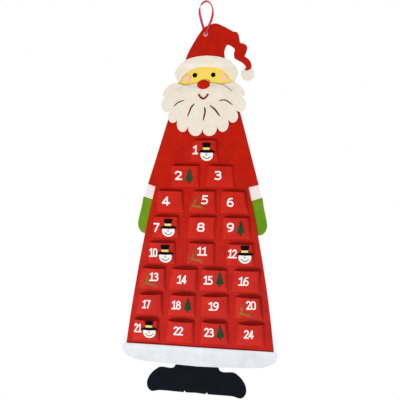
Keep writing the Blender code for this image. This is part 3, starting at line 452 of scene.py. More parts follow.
def even(loop, spacing):
    """The same closed outline with evenly spaced points. Its corners stay."""
    ahead = np.roll(loop, -1, 0) - loop
    kept = np.hypot(*ahead.T) > WELD
    loop, ahead = loop[kept], ahead[kept]
    behind = loop - np.roll(loop, 1, 0)
    turn = np.abs(np.arctan2(behind[:, 0] * ahead[:, 1] - behind[:, 1] * ahead[:, 0],
                             (behind * ahead).sum(1)))
    corners = np.flatnonzero(turn > CORNER_TURN)
    if not len(corners):
        corners = np.array([0])
    loop = np.roll(loop, -corners[0], 0)
    corners = [*(corners - corners[0]), len(loop)]
    loop = np.vstack([loop, loop[:1]])
    made = []
    for start, end in zip(corners, corners[1:]):
        stretch = loop[start:end + 1]
        along = np.concatenate([[0], np.cumsum(np.hypot(*np.diff(stretch, axis=0).T))])
        steps = max(1, round(along[-1] / spacing))
        spots = np.linspace(0, along[-1], steps, endpoint=False)
        made.append(np.stack([np.interp(spots, along, stretch[:, k]) for k in (0, 1)], 1))
    return np.vstack(made)


def softened(loop, rounds=2):
    """Rounds an outline's corners by a fraction of its spacing."""
    for _ in range(rounds):
        loop = (np.roll(loop, 1, 0) + 2 * loop + np.roll(loop, -1, 0)) / 4
    return loop


def stroke(points, width, taper=0.0):
    """Quads along a line of the given width, mitred. With a taper the ends narrow to a point."""
    line = np.array(points, float)
    looped = np.allclose(line[0], line[-1])
    if not looped and not taper:
        for end, inner in ((0, 1), (-1, -2)):
            way = line[end] - line[inner]
            line[end] = line[end] + way / np.hypot(*way) * width / 2
    ways = np.diff(line, axis=0)
    ways /= np.hypot(*ways.T)[:, None]
    before = np.vstack([ways[-1:] if looped else ways[:1], ways])
    after = np.vstack([ways, ways[:1] if looped else ways[-1:]])
    across = np.stack([-(before + after)[:, 1], (before + after)[:, 0]], 1)
    across /= np.hypot(*across.T)[:, None]
    square = (across * np.stack([-before[:, 1], before[:, 0]], 1)).sum(1)
    along = np.linspace(-1, 1, len(line))
    narrow = 1 - taper * np.abs(along) ** 3
    reach = (width / 2 * narrow / np.maximum(square, 0.5))[:, None]
    left, right = line + across * reach, line - across * reach
    return [np.array(quad) for quad in zip(right, right[1:], left[1:], left)]


def flat_area(loops):
    return sum(0.5 * np.sum(loop[:, 0] * np.roll(loop[:, 1], -1) - np.roll(loop[:, 0], -1) * loop[:, 1])
               for loop in loops)


def union(polygons):
    """Outlines of the union of flat polygons, holes turned the other way."""
    points, faces = [], []
    for polygon in polygons:
        faces.append(list(range(len(points), len(points) + len(polygon))))
        points += [Vector(p) for p in counter_clockwise(polygon)]
    corners, _, triangles, _, _, sources = delaunay_2d_cdt(points, [], faces, 1, WELD)
    edges = {(a, b) for tri, source in zip(triangles, sources) if source
             for a, b in zip(tri, tri[1:] + tri[:1])}
    leaving = {}
    for a, b in edges:
        if (b, a) not in edges:
            leaving.setdefault(a, []).append(b)

    def turn_back(before, here, after):
        """The clockwise turn from the way back to the way ahead."""
        back, ahead = corners[before] - corners[here], corners[after] - corners[here]
        return math.atan2(ahead.x * back.y - ahead.y * back.x, ahead.dot(back)) % (2 * math.pi)

    loops = []
    while leaving:
        start = next(iter(leaving))
        loop = [start]
        while True:
            here = loop[-1]
            ways = leaving[here]
            chosen = ways[0]
            if len(loop) > 1:
                chosen = min(ways, key=lambda way: turn_back(loop[-2], here, way))
            ways.remove(chosen)
            if not ways:
                del leaving[here]
            if chosen == start:
                break
            loop.append(chosen)
        loops.append(np.array([corners[index] for index in loop]))
    return [loop for loop in loops if abs(flat_area([loop])) > TINY_AREA]


def cut_shapes(polygons, rounds=1):
    """The outlines of polygons joined into one shape, its corners a little rounded."""
    return [softened(even(loop, FINE_SPACING), rounds) for loop in union(polygons)]


# Meshes
def hanging_wave(x, z):
    """How far the slack felt stands off the wall. It lies still round the eyelet."""
    free = np.clip((-z - STILL_DROP) / WAVE_GROWTH, 0, 1)
    free = free * free * (3 - 2 * free)
    broad = np.sin(21 * x + 0.6 + 3.0 * z) * np.cos(11 * z + 1.1)
    small = np.sin(47 * x - 15 * z + 2.0) * 0.35
    return WAVE_HEIGHT * free * (1.2 + broad + small)


def on_wall(layer_back, lift=None):
    """Places felt whose rear face lies at a depth, with the hanging's wave and its own lift."""
    def place(x, z, height):
        out = hanging_wave(x, z) + (lift(x, z) if lift else 0.0)
        return np.stack([x + CENTRE_LINE, layer_back - height - out, z], 1)
    return place


def layer_back(layer):
    return -layer * LAYER


def eased(value, start, end):
    """0 at the start and 1 at the end, smooth between."""
    share = np.clip((value - start) / (end - start), 0, 1)
    return share * share * (3 - 2 * share)


def brim_lift(x, z):
    """Below the hat's edge the brim sinks onto the face."""
    return -SINK * eased(-z, HAT_EDGE, HAT_EDGE + 10 * MM)


def beard_lift(x, z):
    """Above the robe the beard sinks onto the face, and its lobes' tips stand off the robe."""
    far = np.hypot(x / (BEARD_WIDTH / 2), (z + BEARD_TOP) / BEARD_HEIGHT)
    tips = 1.2 * MM * np.clip((far - 0.55) / 0.45, 0, 1.2) ** 2
    return tips - SINK * (1 - eased(-z, ROBE_TOP - 44 * MM, ROBE_TOP))


def moustache_lift(x, z):
    """The moustache lies on the beard, and sinks onto the face above the beard's edge."""
    half = BEARD_WIDTH / 2
    across, down = np.array(BEARD_TOP_SHARES).T
    edge = BEARD_TOP + BEARD_HEIGHT * np.interp(np.abs(x) / half, across, down)
    tips = 0.6 * MM * (np.abs(x) / (MOUSTACHE_WIDTH / 2)) ** 2
    return beard_lift(x, z) + tips - SINK * eased(edge + z, -1 * MM, 5 * MM)


def hem_lift(x, z):
    """The hem's upper edge stands off the robe."""
    return HEM_GAPE * (1 - eased(-z, HEM_TOP, HEM_TOP + HEM_OVERLAP))


def nose_lift(x, z):
    """The nose leans from the face out over the moustache, and its middle is puffed."""
    top = BEARD_TOP + NOSE_DROP - NOSE_HEIGHT / 2
    far = ((x - NOSE_SHIFT) / NOSE_WIDTH * 2) ** 2 + (1 - (-z - top) / NOSE_HEIGHT * 2) ** 2
    puffed = 1.8 * MM * np.clip(1 - far, 0, 1)
    return puffed - LAYER * (2.8 - 2.0 * np.clip((-z - top) / (NOSE_HEIGHT * 0.9), 0, 1))


def inset(loop, distance):
    """The outline drawn in by a distance, its corners mitred. Stretches that would fold close up."""
    ahead = np.roll(loop, -1, 0) - loop
    ahead /= np.hypot(*ahead.T)[:, None]
    normal = np.stack([-ahead[:, 1], ahead[:, 0]], 1)
    mean = normal + np.roll(normal, 1, 0)
    mean /= np.maximum(np.hypot(*mean.T), 0.3)[:, None]
    square = np.maximum((mean * normal).sum(1), 0.6)[:, None]
    drawn = loop + mean * distance / square
    for _ in range(FOLD_ROUNDS):
        steps = ((np.roll(drawn, -1, 0) - drawn) * ahead).sum(1)
        if not (steps < -WELD).any():
            break
        closed = steps < WELD
        if closed.all():
            return np.repeat(drawn.mean(0)[None], len(drawn), 0)
        order = np.roll(np.arange(len(drawn)), -1 - np.flatnonzero(~closed)[0])
        group = np.concatenate([[0], np.cumsum(~closed[order])[:-1]])
        middles = [np.bincount(group, drawn[order, k]) / np.bincount(group) for k in (0, 1)]
        drawn[order] = np.stack(middles, 1)[group]
    return drawn


def inside(points, loops):
    """Whether each point lies inside the outlines and outside their holes."""
    crossings = np.zeros(len(points), int)
    for loop in loops:
        for (x0, z0), (x1, z1) in zip(loop, np.roll(loop, -1, 0)):
            between = (points[:, 1] < z0) != (points[:, 1] < z1)
            if between.any():
                reach = x0 + (points[between, 1] - z0) * (x1 - x0) / (z1 - z0)
                crossings[between] += points[between, 0] < reach
    return crossings % 2 == 1


def clear_of(points, loops, distance):
    """Whether each point is at least a distance from every outline's points."""
    edge = np.vstack(loops)
    clear = np.ones(len(points), bool)
    for block in range(0, len(points), 2000):
        some = points[block:block + 2000]
        gaps = (some[:, None, :] - edge[None, :, :]) ** 2
        clear[block:block + 2000] = gaps.sum(2).min(1) > distance * distance
    return clear


def grid_inside(loops, grid):
    """Evenly staggered points inside the outlines, clear of their edges."""
    low, high = np.vstack(loops).min(0), np.vstack(loops).max(0)
    rows = np.arange(low[1], high[1], grid * math.sqrt(0.75))
    spots = []
    for k, z in enumerate(rows):
        across = np.arange(low[0] + grid / 2 * (k % 2), high[0], grid)
        spots.append(np.stack([across, np.full(len(across), z)], 1))
    points = np.vstack(spots)
    points = points[inside(points, loops)]
    return points[clear_of(points, loops, grid * 0.55)] if len(points) else points


def without_holes(triangles, edges):
    """Drops the triangles on the far side of the outlines, which have the felt on their left."""
    sides = [[(a, b) for a, b in zip(tri, np.roll(tri, -1))] for tri in triangles]
    owner = {side: place for place, around in enumerate(sides) for side in around}
    border = set(edges)
    waiting = [owner[b, a] for a, b in edges if (b, a) in owner]
    dropped = set(waiting)
    while waiting:
        for a, b in sides[waiting.pop()]:
            beyond = owner.get((b, a))
            if (b, a) not in border and beyond is not None and beyond not in dropped:
                dropped.add(beyond)
                waiting.append(beyond)
    return np.array([tri for place, tri in enumerate(triangles) if place not in dropped])


def filled(loops, grid):
    """Triangles that fill the outlines: all their points, with the grid's, and the corners."""
    extra = grid_inside(loops, grid)
    points = np.vstack([*loops, extra]) if len(extra) else np.vstack(loops)
    edges, start = [], 0
    for loop in loops:
        count = len(loop)
        edges += [(start + k, start + (k + 1) % count) for k in range(count)]
        start += count
    spots, _, triangles, kept, _, _ = delaunay_2d_cdt([Vector(p) for p in points], edges, [], 1, WELD)
    added = [index for index, same in enumerate(kept) if not same]
    numbers = [same[0] if same else 0 for same in kept]
    for place, index in enumerate(added, len(points)):
        numbers[index] = place
    if added:
        points = np.vstack([points, [spots[index] for index in added]])
    return points, without_holes([[numbers[index] for index in tri] for tri in triangles], edges)


def unevenness(points, reach, size):
    """Small heights, the same each run, that make pressed felt uneven."""
    return np.array([noise.noise(Vector(p) / size) + 0.5 * noise.noise(Vector(p) / size * 2.3)
                     for p in points]) * reach


def mesh_object(name, points, faces, cloth, rim=None):
    name = f"{name}_look"
    data = bpy.data.meshes.new(name)
    data.from_pydata([tuple(p) for p in points], [], [tuple(f) for f in faces])
    if rim is not None:
        # The cut_edge attribute carries the share of painted shade at the rims
        data.attributes.new("cut_edge", "FLOAT", "POINT").data.foreach_set("value", rim)
        shape = bmesh.new()
        shape.from_mesh(data)
        bmesh.ops.remove_doubles(shape, verts=shape.verts, dist=WELD)
        bmesh.ops.dissolve_degenerate(shape, edges=shape.edges, dist=WELD)
        shape.to_mesh(data)
        shape.free()
    data.materials.append(CLOTHS[cloth])
    data.shade_smooth()
    return linked(name, data)


def wrapped_faces(count, size):
    """Faces between rings of points, the last ring joined to the first."""
    return [(k * size + j, (k + 1) % count * size + j, (k + 1) % count * size + (j + 1) % size,
             k * size + (j + 1) % size) for k in range(count) for j in range(size)]


def felt(name, loops, thickness, cloth, place, rim=RIM, fine=False):
    """A closed piece of felt with rounded rims, cut to the outlines.

    place turns three arrays, across, up and the height above the rear face, into points.
    """
    spacing, grid = (FINE_SPACING, FINE_GRID) if fine else (SPACING, GRID)
    loops = [even(loop, spacing) for loop in loops]
    turns = [math.pi / 2 * step / RIM_STEPS for step in range(RIM_STEPS + 1)]
    arc = [(rim * (1 - math.cos(a)), rim * (1 - math.sin(a))) for a in turns]
    hold = (rim * HOLD_RIMS, 0.0)
    rear = [hold] + arc[::-1]
    profile = rear + [(draw, thickness - height) for draw, height in rear[::-1]]
    inner = [inset(loop, hold[0]) for loop in loops]
    flat, triangles = filled(inner, grid)
    ring_size = sum(len(loop) for loop in loops)
    across_up = [np.vstack([inset(loop, draw) for loop in loops]) for draw, _ in profile]
    heights = [np.full(ring_size, height) for _, height in profile]
    extra = flat[ring_size:]
    across_up += [extra, extra]
    heights += [np.zeros(len(extra)), np.full(len(extra), thickness)]
    spots, height = np.vstack(across_up), np.concatenate(heights)
    points = place(spots[:, 0], spots[:, 1], height)
    points[:, 1] -= unevenness(points, thickness * UNEVEN_SHARE, LUMP)
    faces, start = [], 0
    for loop in loops:
        count = len(loop)
        for ring in range(len(profile) - 1):
            low, high = ring * ring_size + start, (ring + 1) * ring_size + start
            faces += [(low + k, low + (k + 1) % count, high + (k + 1) % count, high + k)
                      for k in range(count)]
        start += count
    rings = len(profile) * ring_size

    def corner(index, front):
        if index < ring_size:
            return index + (len(profile) - 1) * ring_size * front
        return rings + (index - ring_size) + len(extra) * front

    faces += [tuple(corner(index, 1) for index in tri) for tri in triangles]
    faces += [tuple(corner(index, 0) for index in tri[::-1]) for tri in triangles]
    # Painted shade: 1 at the rim and 0 on the flat faces, the share by which the finish darkens the cut
    # edges
    edge = [1 - min(draw / hold[0], 1) for draw, _ in profile]
    painted_rim_shade = np.concatenate([np.repeat(edge, ring_size), np.zeros(2 * len(extra))])
    return mesh_object(name, points, faces, cloth, painted_rim_shade)


# Finishes
FIBRE_TURNS = (0.3, 1.35, 2.4)
LINT_TURN = 0.9
# Drops between which the red felts take their painted cool haze of light
FOOT_DROPS = (0.42, 0.82)


class Value:
    """A number that varies over a surface. Arithmetic on it adds Math nodes to its finish."""

    def __init__(self, finish, socket):
        self.finish = finish
        self.socket = socket

    def worked(self, operation, *values):
        return self.finish.add("ShaderNodeMath", {"operation": operation}, *values)

    def __add__(self, other):
        return self.worked("ADD", self, other)

    def __radd__(self, other):
        return self.worked("ADD", other, self)

    def __sub__(self, other):
        return self.worked("SUBTRACT", self, other)

    def __rsub__(self, other):
        return self.worked("SUBTRACT", other, self)

    def __mul__(self, other):
        return self.worked("MULTIPLY", self, other)

    def __rmul__(self, other):
        return self.worked("MULTIPLY", other, self)

    def ramped(self, low, high):
        """0 below low and 1 above high, smooth between."""
        settings = {"interpolation_type": "SMOOTHSTEP"}
        return self.finish.add("ShaderNodeMapRange", settings, self, low, high)


class Finish:
    """A material whose nodes are written as expressions."""

    def __init__(self, name):
        self.material = bpy.data.materials.new(name)
        self.material.use_nodes = True
        self.tree = self.material.node_tree
        self.shader = self.tree.nodes["Principled BSDF"]

    def join(self, value, socket):
        if isinstance(value, Value):
            self.tree.links.new(value.socket, socket)
        elif isinstance(value, tuple) and len(value) == 3 and socket.type == "RGBA":
            socket.default_value = (*value, 1.0)
        else:
            socket.default_value = value

    def add(self, kind, settings, *values, out=0, **named):
        """One node of a kind: its settings, then values or links for its sockets."""
        node = self.tree.nodes.new(kind)
        for key, setting in settings.items():
            setattr(node, key, setting)
        for place, value in [*enumerate(values), *named.items()]:
            key = place if isinstance(place, int) else place.replace("_", " ")
            self.join(value, node.inputs[key])
        return Value(self, node.outputs[out])

    def spot(self):
        return self.add("ShaderNodeTexCoord", {}, out="Object")

    def cloud(self, size, detail=2.0, spot=None, roughness=0.55, distortion=0.0):
        """Soft random patches of about the given size."""
        return self.add("ShaderNodeTexNoise", {}, Vector=spot or self.spot(), Scale=1 / size,
                        Detail=detail, Roughness=roughness, Distortion=distortion)

    def strands(self, spot, length, width, turn, low, high):
        """Short curved fibres that mostly lie one way, 1 along each and 0 between them."""
        bend = self.add("ShaderNodeTexNoise", {}, Vector=spot, Scale=0.6 / length, Detail=1.0, out=1)
        bent = self.add("ShaderNodeVectorMath", {"operation": "MULTIPLY_ADD"}, bend,
                        (length / 2, length / 2, length / 2), spot)
        laid = self.add("ShaderNodeMapping", {"vector_type": "TEXTURE"}, bent, (0.0, 0.0, 0.0),
                        (0.0, turn, 0.0), (length, length, width))
        return self.add("ShaderNodeTexNoise", {}, Vector=laid, Scale=1.0, Detail=1.0).ramped(low, high)

    def mixed(self, share, first, second):
        """A colour between two."""
        node = self.tree.nodes.new("ShaderNodeMix")
        node.data_type = "RGBA"
        for index, value in ((0, share), (6, first), (7, second)):
            self.join(value, node.inputs[index])
        return Value(self, node.outputs[2])

    def cut_edge(self):
        # The rims' share of painted shade, from the mesh's cut_edge attribute
        return self.add("ShaderNodeAttribute", {"attribute_name": "cut_edge"}, out="Fac")

    def set(self, **sockets):
        for name, value in sockets.items():
            self.join(value, self.shader.inputs[name.replace("_", " ")])
        return self.material

    def bump(self, height, distance):
        return self.add("ShaderNodeBump", {}, Height=height, Distance=distance, Strength=1.0)


def felt_finish(name, light, dark, lint, sheen, patches, edge_shade, shade):
    """Pressed wool felt: broad patches, clumps, crossing fibres and a little pale lint, with painted
    shade on its rims.
    """
    cloth = Finish(name)
    spot = cloth.spot()
    patch = cloth.cloud(0.028, 2.0, spot)
    clump = cloth.cloud(0.0042, 3.0, spot, 0.6)
    tuft = cloth.cloud(0.0014, 2.0, spot, 0.6, 1.2)
    fibre = sum((cloth.strands(spot, 0.0055, 0.00024, turn, 0.56, 0.72) for turn in FIBRE_TURNS), 0.0)
    tone = ((patch - 0.5) * (1.1 * patches) + (clump - 0.5) * 0.9 + (tuft - 0.5) * 0.35
            + (fibre - 0.6) * 0.16 + 0.5)
    tone = cloth.add("ShaderNodeClamp", {}, tone)
    colour = cloth.mixed(tone, dark, light)
    if shade:
        colour = shade(cloth, colour)
    loose = cloth.strands(spot, 0.0045, 0.0002, LINT_TURN, 0.68, 0.76) * 0.3
    colour = cloth.mixed(loose, colour, lint)
    # Painted shade: toward the cut rims the colour darkens to the dark felt colour, for the shaded sides
    # of the pieces
    colour = cloth.mixed(cloth.cut_edge() * edge_shade, colour, dark)
    height = clump * 0.45 + tuft * 0.3 + fibre * 0.22 + loose
    return cloth.set(Base_Color=colour, Roughness=0.84 + clump * 0.14, Specular_IOR_Level=0.1,
                     Sheen_Weight=sheen, Sheen_Roughness=0.45, Sheen_Tint=(*light, 1.0),
                     Normal=cloth.bump(height, 0.00045))


def toward_edges(middle, reach, colour, strength):
    """A shade that deepens away from a middle, given as x and z, over a reach each way."""
    def shade(cloth, base):
        node = cloth.add("ShaderNodeMapping", {"vector_type": "POINT"}, cloth.spot(),
                         (-middle[0] / reach[0], 0.0, -middle[1] / reach[1]), (0.0, 0.0, 0.0),
                         (1 / reach[0], 0.0, 1 / reach[1]))
        far = cloth.add("ShaderNodeVectorMath", {"operation": "LENGTH"}, node, out="Value")
        return cloth.mixed(far.ramped(0.25, 1.15) * strength, base, colour)
    return shade


def toward_foot(rise):
    """Painted light: a cool haze added to the colour, more toward the foot of the hanging, for the
    cooler light and glare there.
    """
    def shade(cloth, base):
        height = cloth.add("ShaderNodeSeparateXYZ", {}, cloth.spot(), out="Z")
        share = (0.0 - height).ramped(*FOOT_DROPS)
        return cloth.add("ShaderNodeVectorMath", {"operation": "MULTIPLY_ADD"}, rise, share, base)
    return shade


def satin_finish():
    """Red satin with fine cross threads, and threads that run along it."""
    satin = Finish("red satin")
    lay = satin.add("ShaderNodeTexCoord", {}, out="UV")
    split = satin.tree.nodes.new("ShaderNodeSeparateXYZ")
    satin.join(lay, split.inputs[0])
    along, across = Value(satin, split.outputs[0]), Value(satin, split.outputs[1])
    cross = (along * 2600).worked("SINE", along * 2600) * 0.5 + 0.5
    grain = satin.add("ShaderNodeTexNoise", {}, Vector=satin.add(
        "ShaderNodeMapping", {}, lay, (0.0, 0.0, 0.0), (0.0, 0.0, 0.0), (60.0, 9000.0, 1.0)),
        Scale=1.0, Detail=2.0)
    border = (across - 0.003).worked("ABSOLUTE", across - 0.003).ramped(0.0023, 0.0028)
    colour = satin.mixed(grain * 0.8 + cross * 0.2, (0.46, 0.008, 0.026), (0.82, 0.028, 0.075))
    colour = satin.mixed(border * 0.6, colour, (0.20, 0.002, 0.008))
    return satin.set(Base_Color=colour, Roughness=0.34 + grain * 0.16, Sheen_Weight=0.08,
                     Sheen_Roughness=0.3, Sheen_Tint=(0.9, 0.1, 0.2, 1.0), Anisotropic=0.4,
                     Normal=satin.bump(grain * 0.6 + cross * 0.4 + border * 1.5, 0.00006))


def metal_finish():
    """Bright nickel plate, with fine turning marks and a little tarnish."""
    metal = Finish("nickel plate")
    spot = metal.spot()
    haze = metal.cloud(0.0011, 3.0, spot)
    scratch = metal.cloud(0.00025, 2.0, spot, 0.7, 3.0)
    colour = metal.mixed(haze.ramped(0.35, 0.75), (0.93, 0.90, 0.88), (0.70, 0.64, 0.62))
    return metal.set(Base_Color=colour, Metallic=1.0, Roughness=0.16 + haze * 0.22,
                     Normal=metal.bump(scratch, 0.00003))


def thread_finish(name, dark, light):
    """Twisted sewing thread."""
    thread = Finish(name)
    twist = thread.cloud(0.0003, 1.0, None, 0.5, 1.0)
    colour = thread.mixed(twist, dark, light)
    return thread.set(Base_Color=colour, Roughness=0.5 + twist * 0.15, Sheen_Weight=0.2,
                      Normal=thread.bump(twist, 0.0001))


def floor_finish():
    """Pale, faintly mottled floor."""
    floor = Finish("floor")
    speckle = floor.cloud(0.05, 3.0)
    colour = floor.mixed(speckle, (0.86, 0.86, 0.85), (0.9, 0.9, 0.89))
    return floor.set(Base_Color=colour, Roughness=0.7 + speckle * 0.1)


# Each felt: its finish's name, the slot it belongs to, its light, dark and lint colours, its
# sheen, and how strong its patches and the painted shade on its cut edges are
FELTS = {
    "red": ("red felt", "red_felt", (0.62, 0.015, 0.003), (0.40, 0.007, 0.001), (0.75, 0.16, 0.12),
            0.15, 1.0, 0.9),
    "patch": ("pocket felt", "red_felt", (0.68, 0.023, 0.010), (0.47, 0.011, 0.004),
              (0.8, 0.2, 0.16), 0.18, 1.0, 0.7),
    "nose": ("nose felt", "red_felt", (0.72, 0.016, 0.005), (0.42, 0.006, 0.002), (0.8, 0.2, 0.2),
             0.15, 1.0, 0.9),
    "white": ("white felt", "white_felt", (0.96, 0.875, 0.75), (0.82, 0.735, 0.62),
              (0.97, 0.96, 0.94), 0.15, 0.8, 0.5),
    "cuff": ("cuff felt", "white_felt", (0.97, 0.86, 0.85), (0.84, 0.73, 0.72),
             (0.97, 0.96, 0.94), 0.15, 0.8, 0.5),
    "number": ("number felt", "white_felt", (0.98, 0.96, 0.93), (0.88, 0.85, 0.82),
               (0.97, 0.97, 0.95), 0.1, 0.5, 0.3),
    "hem": ("hem felt", "white_felt", (0.84, 0.86, 0.90), (0.66, 0.69, 0.74),
            (0.92, 0.93, 0.95), 0.15, 0.9, 0.5),
    "skin": ("face felt", "skin_felt", (1.0, 0.80, 0.16), (0.93, 0.69, 0.09), (1.0, 0.88, 0.4),
             0.08, 0.6, 0.4),
    "black": ("black felt", "black_felt", (0.007, 0.010, 0.016), (0.002, 0.003, 0.005),
              (0.03, 0.035, 0.045), 0.01, 0.9, 0.5),
    "ink": ("deep black felt", "black_felt", (0.004, 0.0045, 0.006), (0.0012, 0.0014, 0.002),
            (0.02, 0.02, 0.025), 0.0, 0.9, 0.5),
    "pink": ("pink felt", "pink_felt", (1.0, 0.66, 0.53), (0.95, 0.54, 0.41), (1.0, 0.75, 0.68),
             0.12, 0.5, 0.3),
    "green": ("green felt", "green_felt", (0.20, 0.39, 0.014), (0.10, 0.24, 0.005),
              (0.4, 0.6, 0.2), 0.15, 1.0, 0.45),
    "dark_red": ("dark red felt", "dark_red_felt", (0.15, 0.011, 0.009), (0.08, 0.005, 0.004),
                 (0.3, 0.06, 0.06), 0.03, 0.6, 0.2),
    "mouth": ("mouth felt", "dark_red_felt", (0.25, 0.018, 0.011), (0.16, 0.008, 0.005),
              (0.5, 0.1, 0.1), 0.03, 0.6, 0.3),
    "fir": ("fir green felt", "fir_felt", (0.018, 0.115, 0.048), (0.004, 0.030, 0.012),
            (0.05, 0.2, 0.1), 0.05, 1.0, 0.45),
    "tan": ("tan felt", "tan_felt", (0.43, 0.17, 0.045), (0.25, 0.085, 0.02), (0.6, 0.4, 0.2),
            0.1, 1.0, 0.45),
    "bark": ("bark felt", "tan_felt", (0.10, 0.045, 0.015), (0.05, 0.02, 0.008), (0.3, 0.2, 0.1),
             0.05, 1.0, 0.45),
    "peach": ("peach felt", "tan_felt", (0.80, 0.50, 0.30), (0.62, 0.34, 0.18), (0.9, 0.7, 0.5),
              0.1, 1.0, 0.45),
    "lime": ("lime felt", "green_felt", (0.90, 0.84, 0.30), (0.72, 0.66, 0.16),
             (0.95, 0.95, 0.6), 0.1, 1.0, 0.45),
}
SHADES = {
    # Painted light on the red felts: a cool haze toward the foot
    "red": toward_foot((0.004, 0.007, 0.009)),
    "patch": toward_foot((0.004, 0.008, 0.011)),
    "skin": toward_edges((0.012, -0.222), (0.088, 0.064), (0.95, 0.55, 0.12), 0.55),
}


def make_cloths():
    """Every finish by its short name."""
    felts = {key: felt_finish(name, *looks, SHADES.get(key)) for key, (name, _, *looks) in FELTS.items()}
    return felts | {
        "satin": satin_finish(),
        "metal": metal_finish(),
        "thread": thread_finish("red thread", (0.26, 0.005, 0.004), (0.56, 0.02, 0.014)),
        "white_thread": thread_finish("white thread", (0.62, 0.60, 0.58), (0.88, 0.86, 0.84)),
        "floor": floor_finish(),
    }


# The stage
def linked(name, data):
    """A new object in the scene."""
    made = bpy.data.objects.new(name, data)
    bpy.context.scene.collection.objects.link(made)
    return made


def make_camera():
    data = bpy.data.cameras.new("camera")
    camera = linked("camera", data)
    ahead = Vector((-math.sin(CAMERA_YAW) * math.cos(CAMERA_PITCH),
                    math.cos(CAMERA_YAW) * math.cos(CAMERA_PITCH), math.sin(CAMERA_PITCH)))
    level = Vector((math.cos(CAMERA_YAW), math.sin(CAMERA_YAW), 0.0))
    upright = level.cross(ahead)
    right = math.cos(CAMERA_ROLL) * level + math.sin(CAMERA_ROLL) * upright
    up = math.cos(CAMERA_ROLL) * upright - math.sin(CAMERA_ROLL) * level
    matrix = Matrix((right, up, -ahead)).transposed().to_4x4()
    matrix.translation = CAMERA_PLACE
    camera.matrix_world = matrix
    data.lens = LENS
    data.sensor_width = SENSOR
    bpy.context.scene.camera = camera


def make_key_light():
    """A large soft light, low in front and to the left, that looks at the pockets."""
    data = bpy.data.lights.new("key", "AREA")
    data.size = KEY_SIZE
    data.energy = KEY_POWER
    light = linked("key", data)
    way = Vector(KEY_WAY).normalized()
    light.location = Vector(KEY_AIM) + way * KEY_DISTANCE
    light.rotation_mode = "QUATERNION"
    light.rotation_quaternion = way.to_track_quat("Z", "Y")
    light.visible_camera = False


def make_room():
    """Plain white surroundings, dimmer as a light than as the camera sees them."""
    scene = bpy.context.scene
    scene.view_settings.view_transform = "Standard"
    world = bpy.data.worlds.new("studio")
    world.use_nodes = True
    scene.world = world
    nodes, links = world.node_tree.nodes, world.node_tree.links
    soft, bright = nodes["Background"], nodes.new("ShaderNodeBackground")
    for light in (soft, bright):
        light.inputs["Color"].default_value = (1.0, 1.0, 1.0, 1.0)
    soft.inputs["Strength"].default_value = ROOM_LIGHT
    path, both = nodes.new("ShaderNodeLightPath"), nodes.new("ShaderNodeMixShader")
    for place, socket in enumerate((path.outputs["Is Camera Ray"], soft.outputs[0], bright.outputs[0])):
        links.new(socket, both.inputs[place])
    links.new(both.outputs[0], nodes["World Output"].inputs[0])


def make_stage():
    make_room()
    make_key_light()
    disc = ellipse(0.0, 0.0, FLOOR_RADIUS)
    points = [(0.0, 0.0, FLOOR_HEIGHT)] + [(x, y, FLOOR_HEIGHT) for x, y in disc]
    faces = [(0, k, k % len(disc) + 1) for k in range(1, len(disc) + 1)]
    floor = mesh_object("floor", points, faces, "floor")
    floor.visible_shadow = False


# The hanging's pieces
def settle(piece, nodes, body="figure"):
    """Ties a piece to its body, and hides the nodes that it stands for."""
    if nodes:
        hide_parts(*nodes)
    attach(piece, body)


def declare_sheet(loops):
    """Works out the area of a piece's outlines, which is not used."""
    area = float(abs(flat_area(loops)))


def felt_part(name, loops, layer, cloth, lift=None, thickness=FELT, rim=RIM, fine=False):
    """A felt piece that replaces the node of its own name."""
    piece = felt(name, loops, thickness, cloth, on_wall(layer_back(layer), lift), rim, fine)
    settle(piece, [name])
    declare_sheet(loops)


def smile_line(drop, width, sag):
    """A line that hangs between two ends at the drop, by the given sag."""
    spots = np.linspace(-1, 1, 25)
    return np.stack([spots * width / 2, -drop - sag * (1 - spots * spots)], 1)


def make_hat():
    hole = ellipse(-CENTRE_LINE, EYELET_DROP, EYELET_HOLE, segments=40)[::-1]
    hat = joined_runs(HAT_SHARES)[:-1] * (HAT_WIDTH, -HAT_HEIGHT) - (0.0, HAT_TOP)
    felt_part("hat", [counter_clockwise(hat), hole], 1, "red")
    across, down = POMPOM_SHARES
    pompom = ellipse(across * HAT_WIDTH, HAT_TOP + down * HAT_HEIGHT, POMPOM_RADIUS)
    felt_part("hat_pompom", [pompom], 0, "white")
    brim = mirrored(joined_runs(BRIM_SHARES), BRIM_WIDTH, BRIM_HEIGHT, BRIM_SHIFT, BRIM_TOP)
    felt_part("hat_brim", [brim], 2, "white", brim_lift)


def make_face():
    face = ellipse(BRIM_SHIFT, BEARD_TOP, FACE_WIDTH / 2, FACE_HEIGHT / 2)
    felt_part("face", [face], 0, "skin")
    for side, hand in ((-1, "left"), (1, "right")):
        eye = ellipse(side * EYE_SPACING / 2, BEARD_TOP - EYE_RISE, EYE_RADIUS, None, 40)
        felt_part(f"eye_{hand}", [eye], 1, "ink", None, TRIM_FELT, TRIM_RIM, True)
        cheek = ellipse(CHEEK_SHIFT + side * CHEEK_SPACING / 2, BEARD_TOP - CHEEK_RISE, CHEEK_RADIUS)
        felt_part(f"cheek_{hand}", [cheek], 1, "pink", None, TRIM_FELT, TRIM_RIM, True)
    nose = ellipse(NOSE_SHIFT, BEARD_TOP + NOSE_DROP, NOSE_WIDTH / 2, NOSE_HEIGHT / 2)
    felt_part("nose", [nose], 4, "nose", nose_lift, FELT, NOSE_RIM, True)


